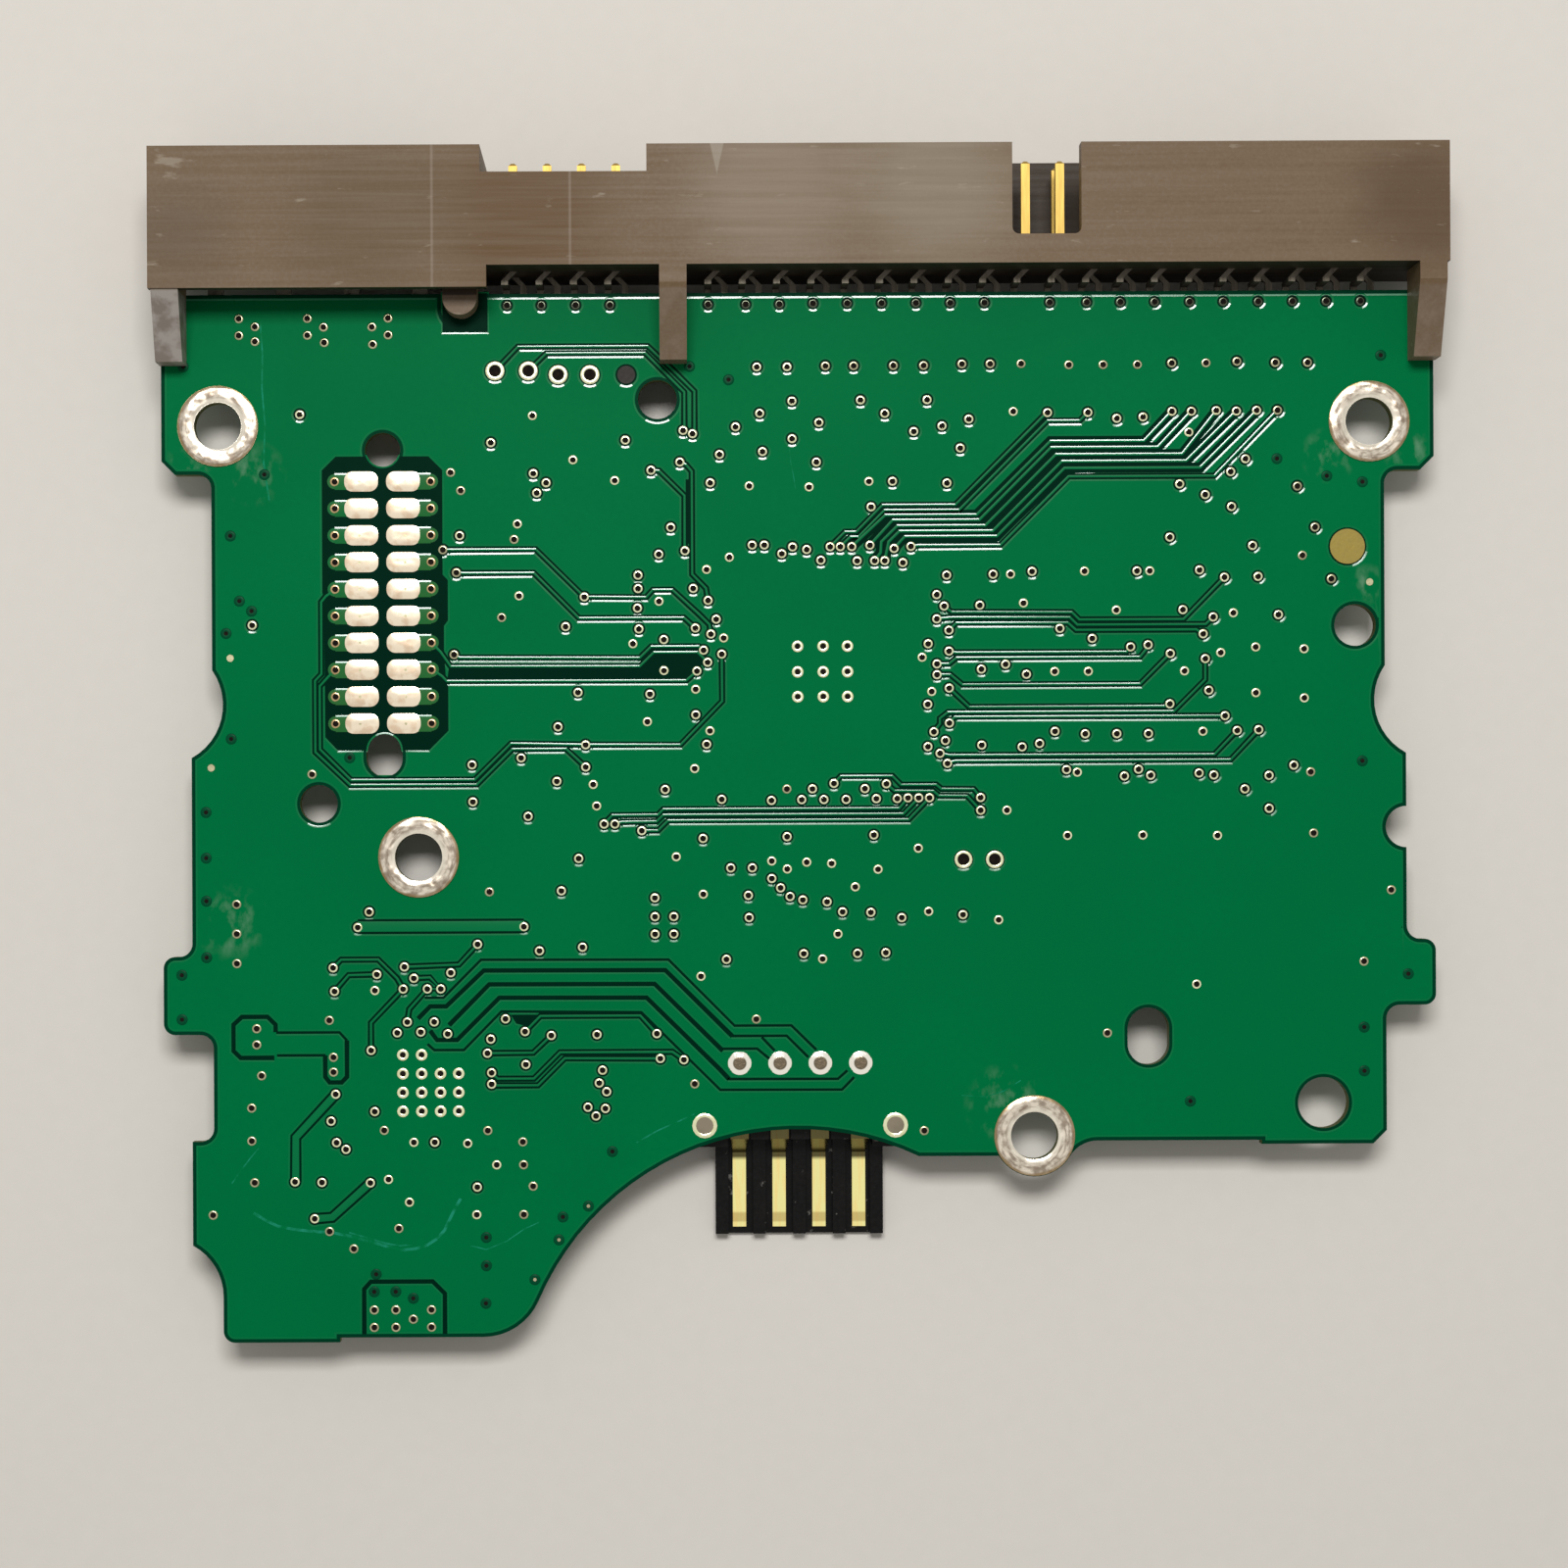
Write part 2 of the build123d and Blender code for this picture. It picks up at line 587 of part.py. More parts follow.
def contact_blade(x):
    """Spring blade: solder tail up through the board, a run under it, a drop and the contact face."""
    low = motor_tray_floor
    top = board_underside - contact_exit_depth
    t = contact_thickness
    side = [(contact_row_y, top), (motor_block_rear, top), (contact_drop_end, low + t),
            (contact_tip_y, low + t), (contact_tip_y, low), (contact_drop_end - t / 2, low),
            (motor_block_rear - t / 2, top - t), (contact_row_y, top - t)]
    section = make_face(Polyline(side, close=True))
    blade = Pos(x + contact_root_width / 2) * extrude(Plane.YZ * section, -contact_root_width)
    spare = (contact_root_width - contact_width) / 2
    for edge in (-1, 1):
        outer = edge * contact_root_width / 2
        inner = edge * (contact_root_width / 2 - spare)
        trim = Polyline([(x + outer, motor_block_rear), (x + inner, contact_drop_end),
                         (x + inner, contact_tip_y), (x + outer, contact_tip_y)], close=True)
        blade -= extrude(make_face(trim), board_underside)
    tail = block((x - contact_tail_width / 2, x + contact_tail_width / 2),
                 (contact_row_y - contact_tail_depth / 2, contact_row_y + contact_tail_depth / 2),
                 (top - t, board_face))
    return blade + tail


def make_motor_solder_joints():
    """Solder on the bare side over the tails of the motor contacts."""
    joint = Cone(solder_radius, solder_crown_radius, solder_height,
                 align=(Align.CENTER, Align.CENTER, Align.MIN))
    return Compound(children=[Pos(x, contact_row_y, board_face) * joint for x in contact_places()])


def under_board(shape, x, y, turn=0):
    """Turns an upright part over and seats it on the board's underside."""
    return Pos(x, y, board_underside) * Rot(0, 0, turn) * Rot(180, 0, 0) * shape


def moulded_body(length, width, height):
    """Package body with sides that slope away from the parting line, standing off the board."""
    half = (height - stand_off) / 2
    line = Rectangle(length, width)
    upper = extrude(line, half, taper=body_draft)
    lower = extrude(line, -half, taper=body_draft)
    return Pos(0, 0, stand_off + half) * (upper + lower)


def gull_lead(start, reach, body_height, width):
    """One lead: out of the body's side, sloping down, with a flat foot; start and reach along X."""
    t = lead_thickness
    level = (body_height + stand_off) / 2
    knee = start + (reach - start) * lead_knee_share
    side = [(start, level + t / 2), (start, level - t / 2), (knee, 0), (reach, 0), (reach, t), (knee + t, t)]
    section = make_face(Polyline(side, close=True))
    return Pos(0, width / 2) * extrude(Plane.XZ * section, width)


def lead_row(count, pitch, start, reach, body_height, width):
    """Leads side by side along Y, on the +X side of a body."""
    lead = gull_lead(start, reach, body_height, width)
    return [Pos(0, (place - (count - 1) / 2) * pitch) * lead for place in range(count)]


def package(name, x, y, body_size, reach, rows, pitch, width):
    """Writes a leaded package as its body and its leads; rows gives the leads on +X, +Y, -X and -Y."""
    length, depth, height = body_size
    leads = []
    for quarter, count in enumerate(rows):
        start = (length if quarter % 2 == 0 else depth) / 2
        row = lead_row(count, pitch, start, start + reach, height, width) if count else []
        leads += [Rot(0, 0, 90 * quarter) * lead for lead in row]
    export(f"{name}_body", under_board(moulded_body(length, depth, height), x, y))
    export(f"{name}_leads", Compound(children=[under_board(lead, x, y) for lead in leads]))


def group(name, shape, places):
    """Writes identical parts on the component side as one group; places give x, y and turn."""
    solids = [under_board(solid, *place) for place in places for solid in shape.solids()]
    export(name, Compound(children=solids))


def standing_box(length, width, height):
    """Plain box standing on the board."""
    return Box(length, width, height, align=(Align.CENTER, Align.CENTER, Align.MIN))


def regulator_leads():
    """Three leads on one side of a regulator and its wide tab on the other."""
    _, depth, height = regulator_body
    reach = depth / 2 + regulator_reach
    row = lead_row(3, regulator_pitch, depth / 2, reach, height, regulator_lead_width)
    tab = lead_row(1, regulator_pitch, depth / 2, reach, height, regulator_tab_width)
    turned = [Rot(0, 0, -90) * lead for lead in row] + [Rot(0, 0, 90) * lead for lead in tab]
    return Compound(children=turned)


def surge_diode_clips():
    """Clips folded up against the two ends of a surge diode."""
    length = surge_diode_size[0]
    clip = standing_box(*surge_diode_clip)
    offset = (length + surge_diode_clip[0]) / 2
    return Compound(children=[Pos(side * offset) * clip for side in (-1, 1)])


def tantalum_capacitor():
    """Moulded capacitor with its positive end bevelled."""
    length, width, height = tantalum_size
    body = standing_box(length, width, height)
    edge = body.edges().filter_by(Axis.Y).group_by(Axis.Z)[-1].sort_by(Axis.X)[-1]
    return chamfer(edge, tantalum_bevel)


def power_inductor():
    """Square shielded inductor with cut corners."""
    length, width, height = inductor_size
    return extrude(chamfer(Rectangle(length, width).vertices(), inductor_corner_cut), height)


def crystal():
    """Ceramic base with a narrower metal lid."""
    length, width, height = crystal_size
    spare = 2 * crystal_lid_margin
    lid = standing_box(length - spare, width - spare, height)
    return standing_box(length, width, crystal_base_height) + lid


os.makedirs("parts", exist_ok=True)
export("circuit_board", make_circuit_board())
export("screw_lands", make_screw_lands())
export("head_contact_pads", make_head_contact_pads())
export("round_contact_pad", make_round_contact_pad())
export("interface_housing", make_interface_housing())

bus_columns = column_places(drive_bus_x, drive_bus_columns)
bus_lower = bus_columns[:missing_pin_column] + bus_columns[missing_pin_column + 1:]
jumper_places = column_places(jumper_x, jumper_columns)
export("bus_pins_upper", Compound(children=[upper_pin(x) for x in bus_columns]))
export("bus_pins_lower", Compound(children=[lower_pin(x) for x in bus_lower]))
export("jumper_pins_upper", Compound(children=[upper_pin(x) for x in jumper_places]))
export("jumper_pins_lower", Compound(children=[lower_pin(x) for x in jumper_places]))
export("power_pins", Compound(children=[power_pin(x) for x in power_places()]))

export("motor_connector_body", make_motor_connector_body())
export("motor_contact_blades", Compound(children=[contact_blade(x) for x in contact_places()]))
export("motor_solder_joints", make_motor_solder_joints())

for name, place, body, lead_sizes, per_side, sides in [
        ("controller", controller_place, controller_body, controller_lead_sizes,
         controller_leads_per_side, 4),
        ("memory", memory_place, memory_body, memory_lead_sizes, memory_leads_per_side, 2),
        ("motor_driver", motor_driver_place, motor_driver_body, motor_driver_lead_sizes,
         motor_driver_leads_per_side, 4),
        ("flash", flash_place, flash_body, flash_lead_sizes, flash_leads_per_side, 2)]:
    rows = [per_side] * 4 if sides == 4 else [0, per_side, 0, per_side]
    reach, pitch, width = lead_sizes
    package(name, *place, body, reach, rows, pitch, width)

surge_diode_places = [(x, board_front_edge - surge_diode_offset, 90) for x in surge_diodes_x]
array_places = [(resistor_array_first_x + place * resistor_array_spacing,
                 board_front_edge - resistor_array_offset, 0) for place in range(resistor_array_count)]
group("regulator_bodies", moulded_body(*regulator_body), regulator_places)
group("regulator_leads", regulator_leads(), regulator_places)
group("surge_diode_bodies", moulded_body(*surge_diode_size), surge_diode_places)
group("surge_diode_clips", surge_diode_clips(), surge_diode_places)
group("tantalum_capacitors", tantalum_capacitor(), tantalum_places)
group("power_inductors", power_inductor(), inductor_places)
group("crystal", crystal(), [crystal_place])
group("shock_sensor", standing_box(*shock_sensor_size), [shock_sensor_place])
group("resistor_arrays", standing_box(*resistor_array_size), array_places)
group("large_chip_capacitors", standing_box(*large_chip_size), large_chip_places)
group("small_chip_capacitors", standing_box(*small_chip_size), small_chip_places)
group("chip_resistors", standing_box(*resistor_size), resistor_places)
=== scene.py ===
"""Circuit board of a desktop hard drive, solder side up, dressed for rendering.

Places, sizes and heights are in millimetres where nothing else is said.
"""

import logging
import math
from dataclasses import dataclass, field
from enum import Enum
from typing import Any, Iterable

import bmesh
import bpy
from bmesh.types import BMesh, BMFace, BMVert
from bpy.types import Material, Mesh, Node, NodeSocket, NodeTree, Object
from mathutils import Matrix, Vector, noise as ripple


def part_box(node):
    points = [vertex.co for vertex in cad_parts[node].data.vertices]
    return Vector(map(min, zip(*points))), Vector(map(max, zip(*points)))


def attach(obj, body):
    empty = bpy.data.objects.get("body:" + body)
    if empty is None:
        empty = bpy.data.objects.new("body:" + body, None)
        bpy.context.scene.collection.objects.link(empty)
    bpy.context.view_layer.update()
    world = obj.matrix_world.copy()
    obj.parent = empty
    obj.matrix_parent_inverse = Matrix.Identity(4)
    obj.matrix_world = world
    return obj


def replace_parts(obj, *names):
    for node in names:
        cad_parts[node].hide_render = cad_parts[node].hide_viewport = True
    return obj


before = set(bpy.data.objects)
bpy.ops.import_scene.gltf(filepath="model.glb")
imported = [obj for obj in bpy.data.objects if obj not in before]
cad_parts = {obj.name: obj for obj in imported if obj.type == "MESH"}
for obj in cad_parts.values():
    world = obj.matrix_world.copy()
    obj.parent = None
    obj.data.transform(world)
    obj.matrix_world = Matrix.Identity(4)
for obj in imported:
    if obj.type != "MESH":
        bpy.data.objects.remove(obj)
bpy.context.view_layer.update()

Point = tuple[float, float]
Place = tuple[float, float, float]
Path = tuple[Point, ...]
log = logging.getLogger("circuit_board")

MM = 0.001
# The board's bare face over the bench, and the housing's top.
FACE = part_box("circuit_board")[1].z / MM
HOUSING_TOP = 8.9
# Flat shapes that may cross lie a hair apart, in steps of twelve, so that none share a plane.
HAIR, HAIRS = 0.0003, 12


# ---- small helpers


def linear(code: str) -> tuple[float, float, float, float]:
    """Turn an sRGB hex colour into linear values.

    Args:
        code: a colour such as "#006E3C".

    Returns:
        Linear red, green and blue, with an alpha of 1.
    """
    parts = [int(code[i:i + 2], 16) / 255 for i in (1, 3, 5)]
    red, green, blue = (c / 12.92 if c <= 0.04045 else ((c + 0.055) / 1.055) ** 2.4 for c in parts)
    return red, green, blue, 1.0


def plug(tree: NodeTree, socket: NodeSocket, value: Any) -> None:
    """Link or set one input.

    Args:
        tree: the node tree.
        socket: the input.
        value: a node, an output socket, a colour's hex code or a plain value.
    """
    if isinstance(value, Node):
        value = next(output for output in value.outputs if output.enabled)
    if isinstance(value, NodeSocket):
        tree.links.new(value, socket)
    else:
        is_colour = isinstance(value, str) and value.startswith("#")
        socket.default_value = linear(value) if is_colour else value


def add_node(tree: NodeTree, kind: str, inputs: Any = (), **settings: Any) -> Node:
    """Add one node, with its settings and links.

    Args:
        tree: the node tree that gets the node.
        kind: the node's type name.
        inputs: what goes into its inputs, in their order or by name or number.
        **settings: the node's own properties.

    Returns:
        The new node.
    """
    node = tree.nodes.new(kind)
    for name, value in settings.items():
        setattr(node, name, value)
    for key, value in inputs.items() if isinstance(inputs, dict) else enumerate(inputs):
        plug(tree, node.inputs[key], value)
    return node


@dataclass(frozen=True)
class Sheet:
    """One material while it is made: its nodes, its coordinates and its shader."""

    material: Material
    tree: NodeTree
    place: NodeSocket
    shader: Node

    def axis(self, name: str) -> NodeSocket:
        """Give one of a spot's coordinates, in metres."""
        return add_node(self.tree, "ShaderNodeSeparateXYZ", (self.place,)).outputs[name]

    def facing(self, name: str) -> NodeSocket:
        """Give one part of the direction that a face looks in."""
        normal = add_node(self.tree, "ShaderNodeNewGeometry").outputs["Normal"]
        return add_node(self.tree, "ShaderNodeSeparateXYZ", (normal,)).outputs[name]

    def patches(self, grain: float, detail: float = 2.0, stretch: Place = (1.0, 1.0, 1.0),
                place: Any = None) -> Node:
        """Give a pattern of soft patches that have a real size.

        Args:
            grain: the size of one patch.
            detail: how many finer layers are added.
            stretch: how much finer the patches are along each axis.
            place: the coordinates in metres, where they aren't the object's own.

        Returns:
            The pattern, from 0 to 1.
        """
        moved = add_node(self.tree, "ShaderNodeMapping",
                         {"Vector": self.place if place is None else place, "Scale": stretch})
        return add_node(self.tree, "ShaderNodeTexNoise",
                        {"Vector": moved, "Scale": 1 / (grain * MM), "Detail": detail, "Roughness": 0.55})

    def nearest(self, centres: Iterable[Point], height: float) -> Any:
        """Give the distance to the nearest of several places.

        Args:
            centres: the places.
            height: their height.

        Returns:
            The distance, in metres.
        """
        least: Any = 1.0  # farther than any spot on the board
        for x, y in centres:
            far = add_node(self.tree, "ShaderNodeVectorMath", (self.place, (x * MM, y * MM, height * MM)),
                           operation="DISTANCE")
            least = add_node(self.tree, "ShaderNodeMath", (least, far), operation="MINIMUM")
        return least

    def overlay(self, colour: Any, over: Any, pattern: Any, low: float = 0.0, high: float = 1.0,
                least: float = 0.0, most: float = 1.0, curve: str = "LINEAR") -> Node:
        """Lay a second colour over a first, by how strong a pattern is at each spot.

        Args:
            colour: the colour underneath.
            over: the colour laid over it.
            pattern: the pattern.
            low: the pattern's value at one end of the range that counts.
            high: its value at the other end.
            least: how much of the second colour shows at the low end.
            most: how much of it shows at the high end.
            curve: how the share runs between the ends.

        Returns:
            The blended colour.
        """
        share = add_node(
            self.tree, "ShaderNodeMapRange", (pattern, low, high, least, most), interpolation_type=curve)
        return add_node(self.tree, "ShaderNodeMix", {0: share, 6: colour, 7: over}, data_type="RGBA")

    def feed(self, **sockets: Any) -> None:
        """Link or set the shader's inputs.

        Args:
            **sockets: the input's name, with _ for a space, and what goes into it.
        """
        for name, value in sockets.items():
            plug(self.tree, self.shader.inputs[name.replace("_", " ")], value)

    def roughen(self, pattern: Any, least: float, spread: float, low: float = 0.3, high: float = 0.7) -> None:
        """Let the roughness follow a pattern.

        Args:
            pattern: the pattern.
            least: the roughness where the pattern is low.
            spread: how much rougher it is where the pattern is high.
            low: the pattern's low value.
            high: its high value.
        """
        rough = (pattern, low, high, least, least + spread)
        self.feed(Roughness=add_node(self.tree, "ShaderNodeMapRange", rough))

    def bump(self, height: Any, depth: float, strength: float = 1.0) -> None:
        """Give the shader a relief.

        Args:
            height: the height, from 0 to 1.
            depth: how deep a height of 1 is.
            strength: how much of the relief counts.
        """
        self.feed(Normal=add_node(self.tree, "ShaderNodeBump",
                                  {"Height": height, "Distance": depth * MM, "Strength": strength}))


def start_sheet(name: str) -> Sheet:
    """Make a material with a shader, an output and Object coordinates.

    Args:
        name: the material's name.

    Returns:
        The material's parts.
    """
    material = bpy.data.materials.new(name)
    material.use_nodes = True
    tree = material.node_tree
    tree.nodes.clear()
    shader = add_node(tree, "ShaderNodeBsdfPrincipled")
    add_node(tree, "ShaderNodeOutputMaterial", {"Surface": shader})
    place = add_node(tree, "ShaderNodeTexCoord").outputs["Object"]
    return Sheet(material, tree, place, shader)


# ---- finishes


class Forming(Enum):
    """How a metal surface was made: how much finer its marks are along each axis."""

    MELTED = (1.0, 1.0, 1.0)
    PLATED = (1.6, 1.6, 1.6)
    DRAWN = (5.0, 0.35, 5.0)


@dataclass(frozen=True)
class MetalFinish:
    """A terminal's metal: reflective, with a waviness and a stain of its own.

    Melted metal is bright with soft waves, plated metal is even and satin, and
    drawn metal shows lines along its strip. Its waves are in millimetres.
    """

    name: str
    forming: Forming
    colour: str
    stain: str
    roughness: float
    wave: float
    wave_depth: float
    stain_share: float = 0.5

    def tinted(self, sheet: Sheet, colour: Any) -> Any:
        """Give the metal's colour as it is, for kinds of metal that add nothing to it."""
        return colour

    def make(self) -> Material:
        """Build the material.

        Returns:
            The finished material.
        """
        sheet = start_sheet(self.name)
        patches = sheet.patches(self.wave * 1.6, 3.0, self.forming.value)
        colour = sheet.overlay(
            self.colour, self.stain, patches, 0.42, 0.66, most=self.stain_share, curve="SMOOTHSTEP")
        sheet.feed(Base_Color=self.tinted(sheet, colour), Metallic=1.0)
        sheet.roughen(patches, self.roughness, 0.1, high=0.8)
        sheet.bump(sheet.patches(self.wave, 1.0, self.forming.value), self.wave_depth)
        return sheet.material


@dataclass(frozen=True)
class BladeFinish(MetalFinish):
    """Gilt bronze, bright at the tips; the dark brown on the roots is painted shade under the board's edge.

    The painted shade ends at the Y shade_end. A darker band lies across the tips from the
    Y mark_start on.
    """

    # Painted shade: the dark brown on the roots under the board's edge.
    root: str = "#241605"
    shade_end: float = -30.85
    mark: str = "#A9823A"
    mark_start: float = -34.95
    mark_length: float = 0.75

    def tinted(self, sheet: Sheet, colour: Any) -> Any:
        """Paint shade on the blades' roots in dark brown, and lay a darker band over their tips.

        Args:
            sheet: the material's parts.
            colour: the gilt's colour.

        Returns:
            The colour with the painted shade on the roots and the bands on the tips.
        """
        tree = sheet.tree
        along = sheet.axis("Y")
        colour = sheet.overlay(
            colour, self.root, along, (self.shade_end - 0.15) * MM, (self.shade_end + 0.15) * MM, most=0.9)
        near = add_node(tree, "ShaderNodeMapRange",
                        (along, (self.mark_start - 0.05) * MM, (self.mark_start + 0.12) * MM, 1.0, 0.0))
        end = self.mark_start - self.mark_length
        far = add_node(tree, "ShaderNodeMapRange", (along, end * MM, (end + 0.15) * MM))
        mark = add_node(tree, "ShaderNodeMath", (near, far), operation="MULTIPLY")
        return sheet.overlay(colour, self.mark, mark, most=0.5)


@dataclass(frozen=True)
class PinFinish(MetalFinish):
    """Drawn pins dipped twice: hard gold where the plug slides on, matte tin on the soldered tails."""

    gold: str = "#AA8E4C"
    gold_start: float = 36.0
    gold_fade: float = 0.4

    def tinted(self, sheet: Sheet, colour: Any) -> Any:
        """Gild the front of the pins.

        Args:
            sheet: the material's parts.
            colour: the tin's colour.

        Returns:
            The colour with the gilded fronts.
        """
        end = self.gold_start + self.gold_fade
        return sheet.overlay(colour, self.gold, sheet.axis("Y"), self.gold_start * MM, end * MM)


@dataclass(frozen=True)
class LandFinish(MetalFinish):
    """Solder on the screw lands: burnt flux rims it and the screw head rubbed it bright inside."""

    centres: tuple[Point, ...] = ()
    rim: str = "#8E744A"
    rubbed: str = "#F6EEDD"

    def tinted(self, sheet: Sheet, colour: Any) -> Any:
        """Darken the outer rim and brighten the ring beside the hole.

        Args:
            sheet: the material's parts.
            colour: the solder's colour.

        Returns:
            The colour with the rim and the bright ring.
        """
        far = sheet.nearest(self.centres, FACE + 0.15)
        # The solder froze and was rubbed in rings, so its grain is drawn out round the hole.
        round_hole = add_node(sheet.tree, "ShaderNodeCombineXYZ", (far, sheet.axis("X"), sheet.axis("Y")))
        grain = sheet.patches(0.5, 4.0, (2.4, 0.5, 0.5), round_hole)
        colour = sheet.overlay(colour, self.stain, grain, 0.46, 0.64, most=0.75)
        reach = add_node(
            sheet.tree, "ShaderNodeMath", (sheet.patches(1.2), 0.3 * MM, far), operation="MULTIPLY_ADD")
        colour = sheet.overlay(colour, self.rubbed, reach, 2.05 * MM, 2.35 * MM, 0.75, 0.0)
        return sheet.overlay(colour, self.rim, reach, 2.9 * MM, 3.05 * MM, most=0.8)


@dataclass(frozen=True)
class NylonFinish:
    """Injection moulded glass filled nylon, brown.

    The glass drags fine streaks along the flow, the surface is half matt, and
    rubbed corners turn pale. Places and sizes are in millimetres.
    """

    colour: str = "#6C5740"
    streak: str = "#5F4B36"
    greyed: str = "#74644F"
    scuff: str = "#A09482"
    worn: str = "#7C756E"
    bruise: str = "#A7A29C"
    # Painted shade: near black laid on the wall over the pin tails and on the sunk level faces.
    deep: str = "#140F0A"
    wedge: str = "#94897A"
    insert_line: str = "#97897A"
    streak_width: float = 0.35
    roughness: float = 0.42
    corner: Point = (-46.2, 42.4)
    wedge_x: float = -5.95
    wedge_ends: Point = (41.6, 44.05)
    wedge_half: float = 0.55
    insert_lines: Point = (-26.8, -16.7)
    # X, Y and reach of each stain, its colour and its share: where the moulding
    # flowed on late it is browner, where it was rubbed it is paler.
    stains: tuple[tuple[float, float, float, str, float], ...] = (
        (-20.2, 39.2, 9.5, "#59401F", 0.85), (45.5, 39.5, 7.5, "#503A24", 0.7),
        (-2.0, 41.0, 9.0, "#867765", 0.7), (10.0, 41.0, 9.0, "#877A67", 0.75),
        (-45.5, 37.5, 6.0, "#5E4D3A", 0.6), (-31.5, 38.5, 9.0, "#5C4A2F", 0.6))

    def aged(self, sheet: Sheet, colour: Any) -> Any:
        """Lay the stains and the pale scuffs over the colour.

        Args:
            sheet: the material's parts.
            colour: the nylon's colour.

        Returns:
            The colour with its age.
        """
        uneven = sheet.patches(3.0, 4.0, (0.6, 1.4, 1.0))
        for x, y, reach, stain, share in self.stains:
            far = sheet.nearest([(x, y)], HOUSING_TOP)
            far = add_node(sheet.tree, "ShaderNodeMath", (uneven, 4.0 * MM, far), operation="MULTIPLY_ADD")
            colour = sheet.overlay(
                colour, stain, far, reach * 0.45 * MM, (reach + 2.0) * MM, share, 0.0, "SMOOTHSTEP")
        near = add_node(sheet.tree, "ShaderNodeMapRange",
                        (sheet.nearest([self.corner], HOUSING_TOP), 0.6 * MM, 1.8 * MM, 0.2, 0.0))
        rub = add_node(
            sheet.tree, "ShaderNodeMath", (sheet.patches(1.1, 5.0, (0.5, 1.6, 1.0)), near), operation="ADD")
        return sheet.overlay(colour, self.scuff, rub, 0.66, 0.76, most=0.5)

    def marked(self, sheet: Sheet, colour: Any) -> Any:
        """Show the first pin's wedge and the faint joins of the mould's inserts.

        Args:
            sheet: the material's parts.
            colour: the nylon's colour.

        Returns:
            The colour with the marks.
        """
        tree, aside = sheet.tree, []
        for x in (self.wedge_x, *self.insert_lines):
            off = add_node(tree, "ShaderNodeMath", (sheet.axis("X"), x * MM), operation="SUBTRACT")
            aside.append(add_node(tree, "ShaderNodeMath", (off,), operation="ABSOLUTE"))
        tip, base = (y * MM for y in self.wedge_ends)
        half = add_node(tree, "ShaderNodeMapRange", (sheet.axis("Y"), tip, base, 0.0, self.wedge_half * MM))
        inside = add_node(tree, "ShaderNodeMath", (half, aside[0]), operation="SUBTRACT")
        colour = sheet.overlay(colour, self.wedge, inside, 0.0, 0.1 * MM, most=0.75)
        for off in aside[1:]:
            colour = sheet.overlay(colour, self.insert_line, off, 0.04 * MM, 0.14 * MM, 0.35, 0.0)
        return colour

    def worn_and_shaded(self, sheet: Sheet, colour: Any) -> Any:
        """Wear the braces grey, and paint shade on the wall over the pin tails and on the sunk level faces.

        Args:
            sheet: the material's parts.
            colour: the nylon's colour.

        Returns:
            The colour with the wear, the left brace worn most, and with the soot.
        """
        tree = sheet.tree
        brace = add_node(tree, "ShaderNodeMapRange", (sheet.axis("Y"), 33.5 * MM, 33.65 * MM, 1.0, 0.0))
        left = add_node(tree, "ShaderNodeMapRange", (sheet.axis("X"), -40 * MM, -30 * MM, 0.8, 0.15))
        share = add_node(tree, "ShaderNodeMath", (brace, left), operation="MULTIPLY")
        worn = sheet.overlay(self.worn, self.bruise, sheet.patches(1.6, 5.0), 0.45, 0.6, most=0.8)
        colour = sheet.overlay(colour, worn, share)
        # Painted shade: faces that look towards -Y over the pin tails, and level faces sunk below the top, are
        # darkened nearly to black.
        wall = add_node(tree, "ShaderNodeMapRange", (sheet.facing("Y"), -0.8, -0.6, 1.0, 0.0))
        sunk = add_node(tree, "ShaderNodeMapRange", (sheet.axis("Z"), 7.4 * MM, 7.8 * MM, 1.0, 0.0))
        level = add_node(tree, "ShaderNodeMapRange", (sheet.facing("Z"), 0.6, 0.8, 0.0, 0.85))
        floor = add_node(tree, "ShaderNodeMath", (sunk, level), operation="MULTIPLY")
        shaded_faces = add_node(tree, "ShaderNodeMath", (wall, floor), operation="MAXIMUM")
        behind = add_node(tree, "ShaderNodeMapRange", (sheet.axis("Y"), 33.4 * MM, 33.5 * MM, 0.0, 0.93))
        share = add_node(tree, "ShaderNodeMath", (shaded_faces, behind), operation="MULTIPLY")
        return sheet.overlay(colour, self.deep, share)

    def make(self) -> Material:
        """Build the material.

        Returns:
            The finished material.
        """
        sheet = start_sheet("moulded_brown_nylon")
        along = sheet.patches(self.streak_width * 6, 4.0, (0.16, 6.0, 6.0))
        grain = sheet.patches(0.22)
        colour = sheet.overlay(self.colour, self.streak, along, 0.35, 0.75, most=0.3)
        colour = sheet.overlay(colour, self.greyed, grain, 0.4, 0.7, most=0.5)
        colour = self.worn_and_shaded(sheet, self.marked(sheet, self.aged(sheet, colour)))
        sheet.feed(Base_Color=colour, Specular_IOR_Level=0.18)
        sheet.roughen(along, self.roughness, 0.14)
        sheet.bump(grain, 0.006, 0.6)
        return sheet.material


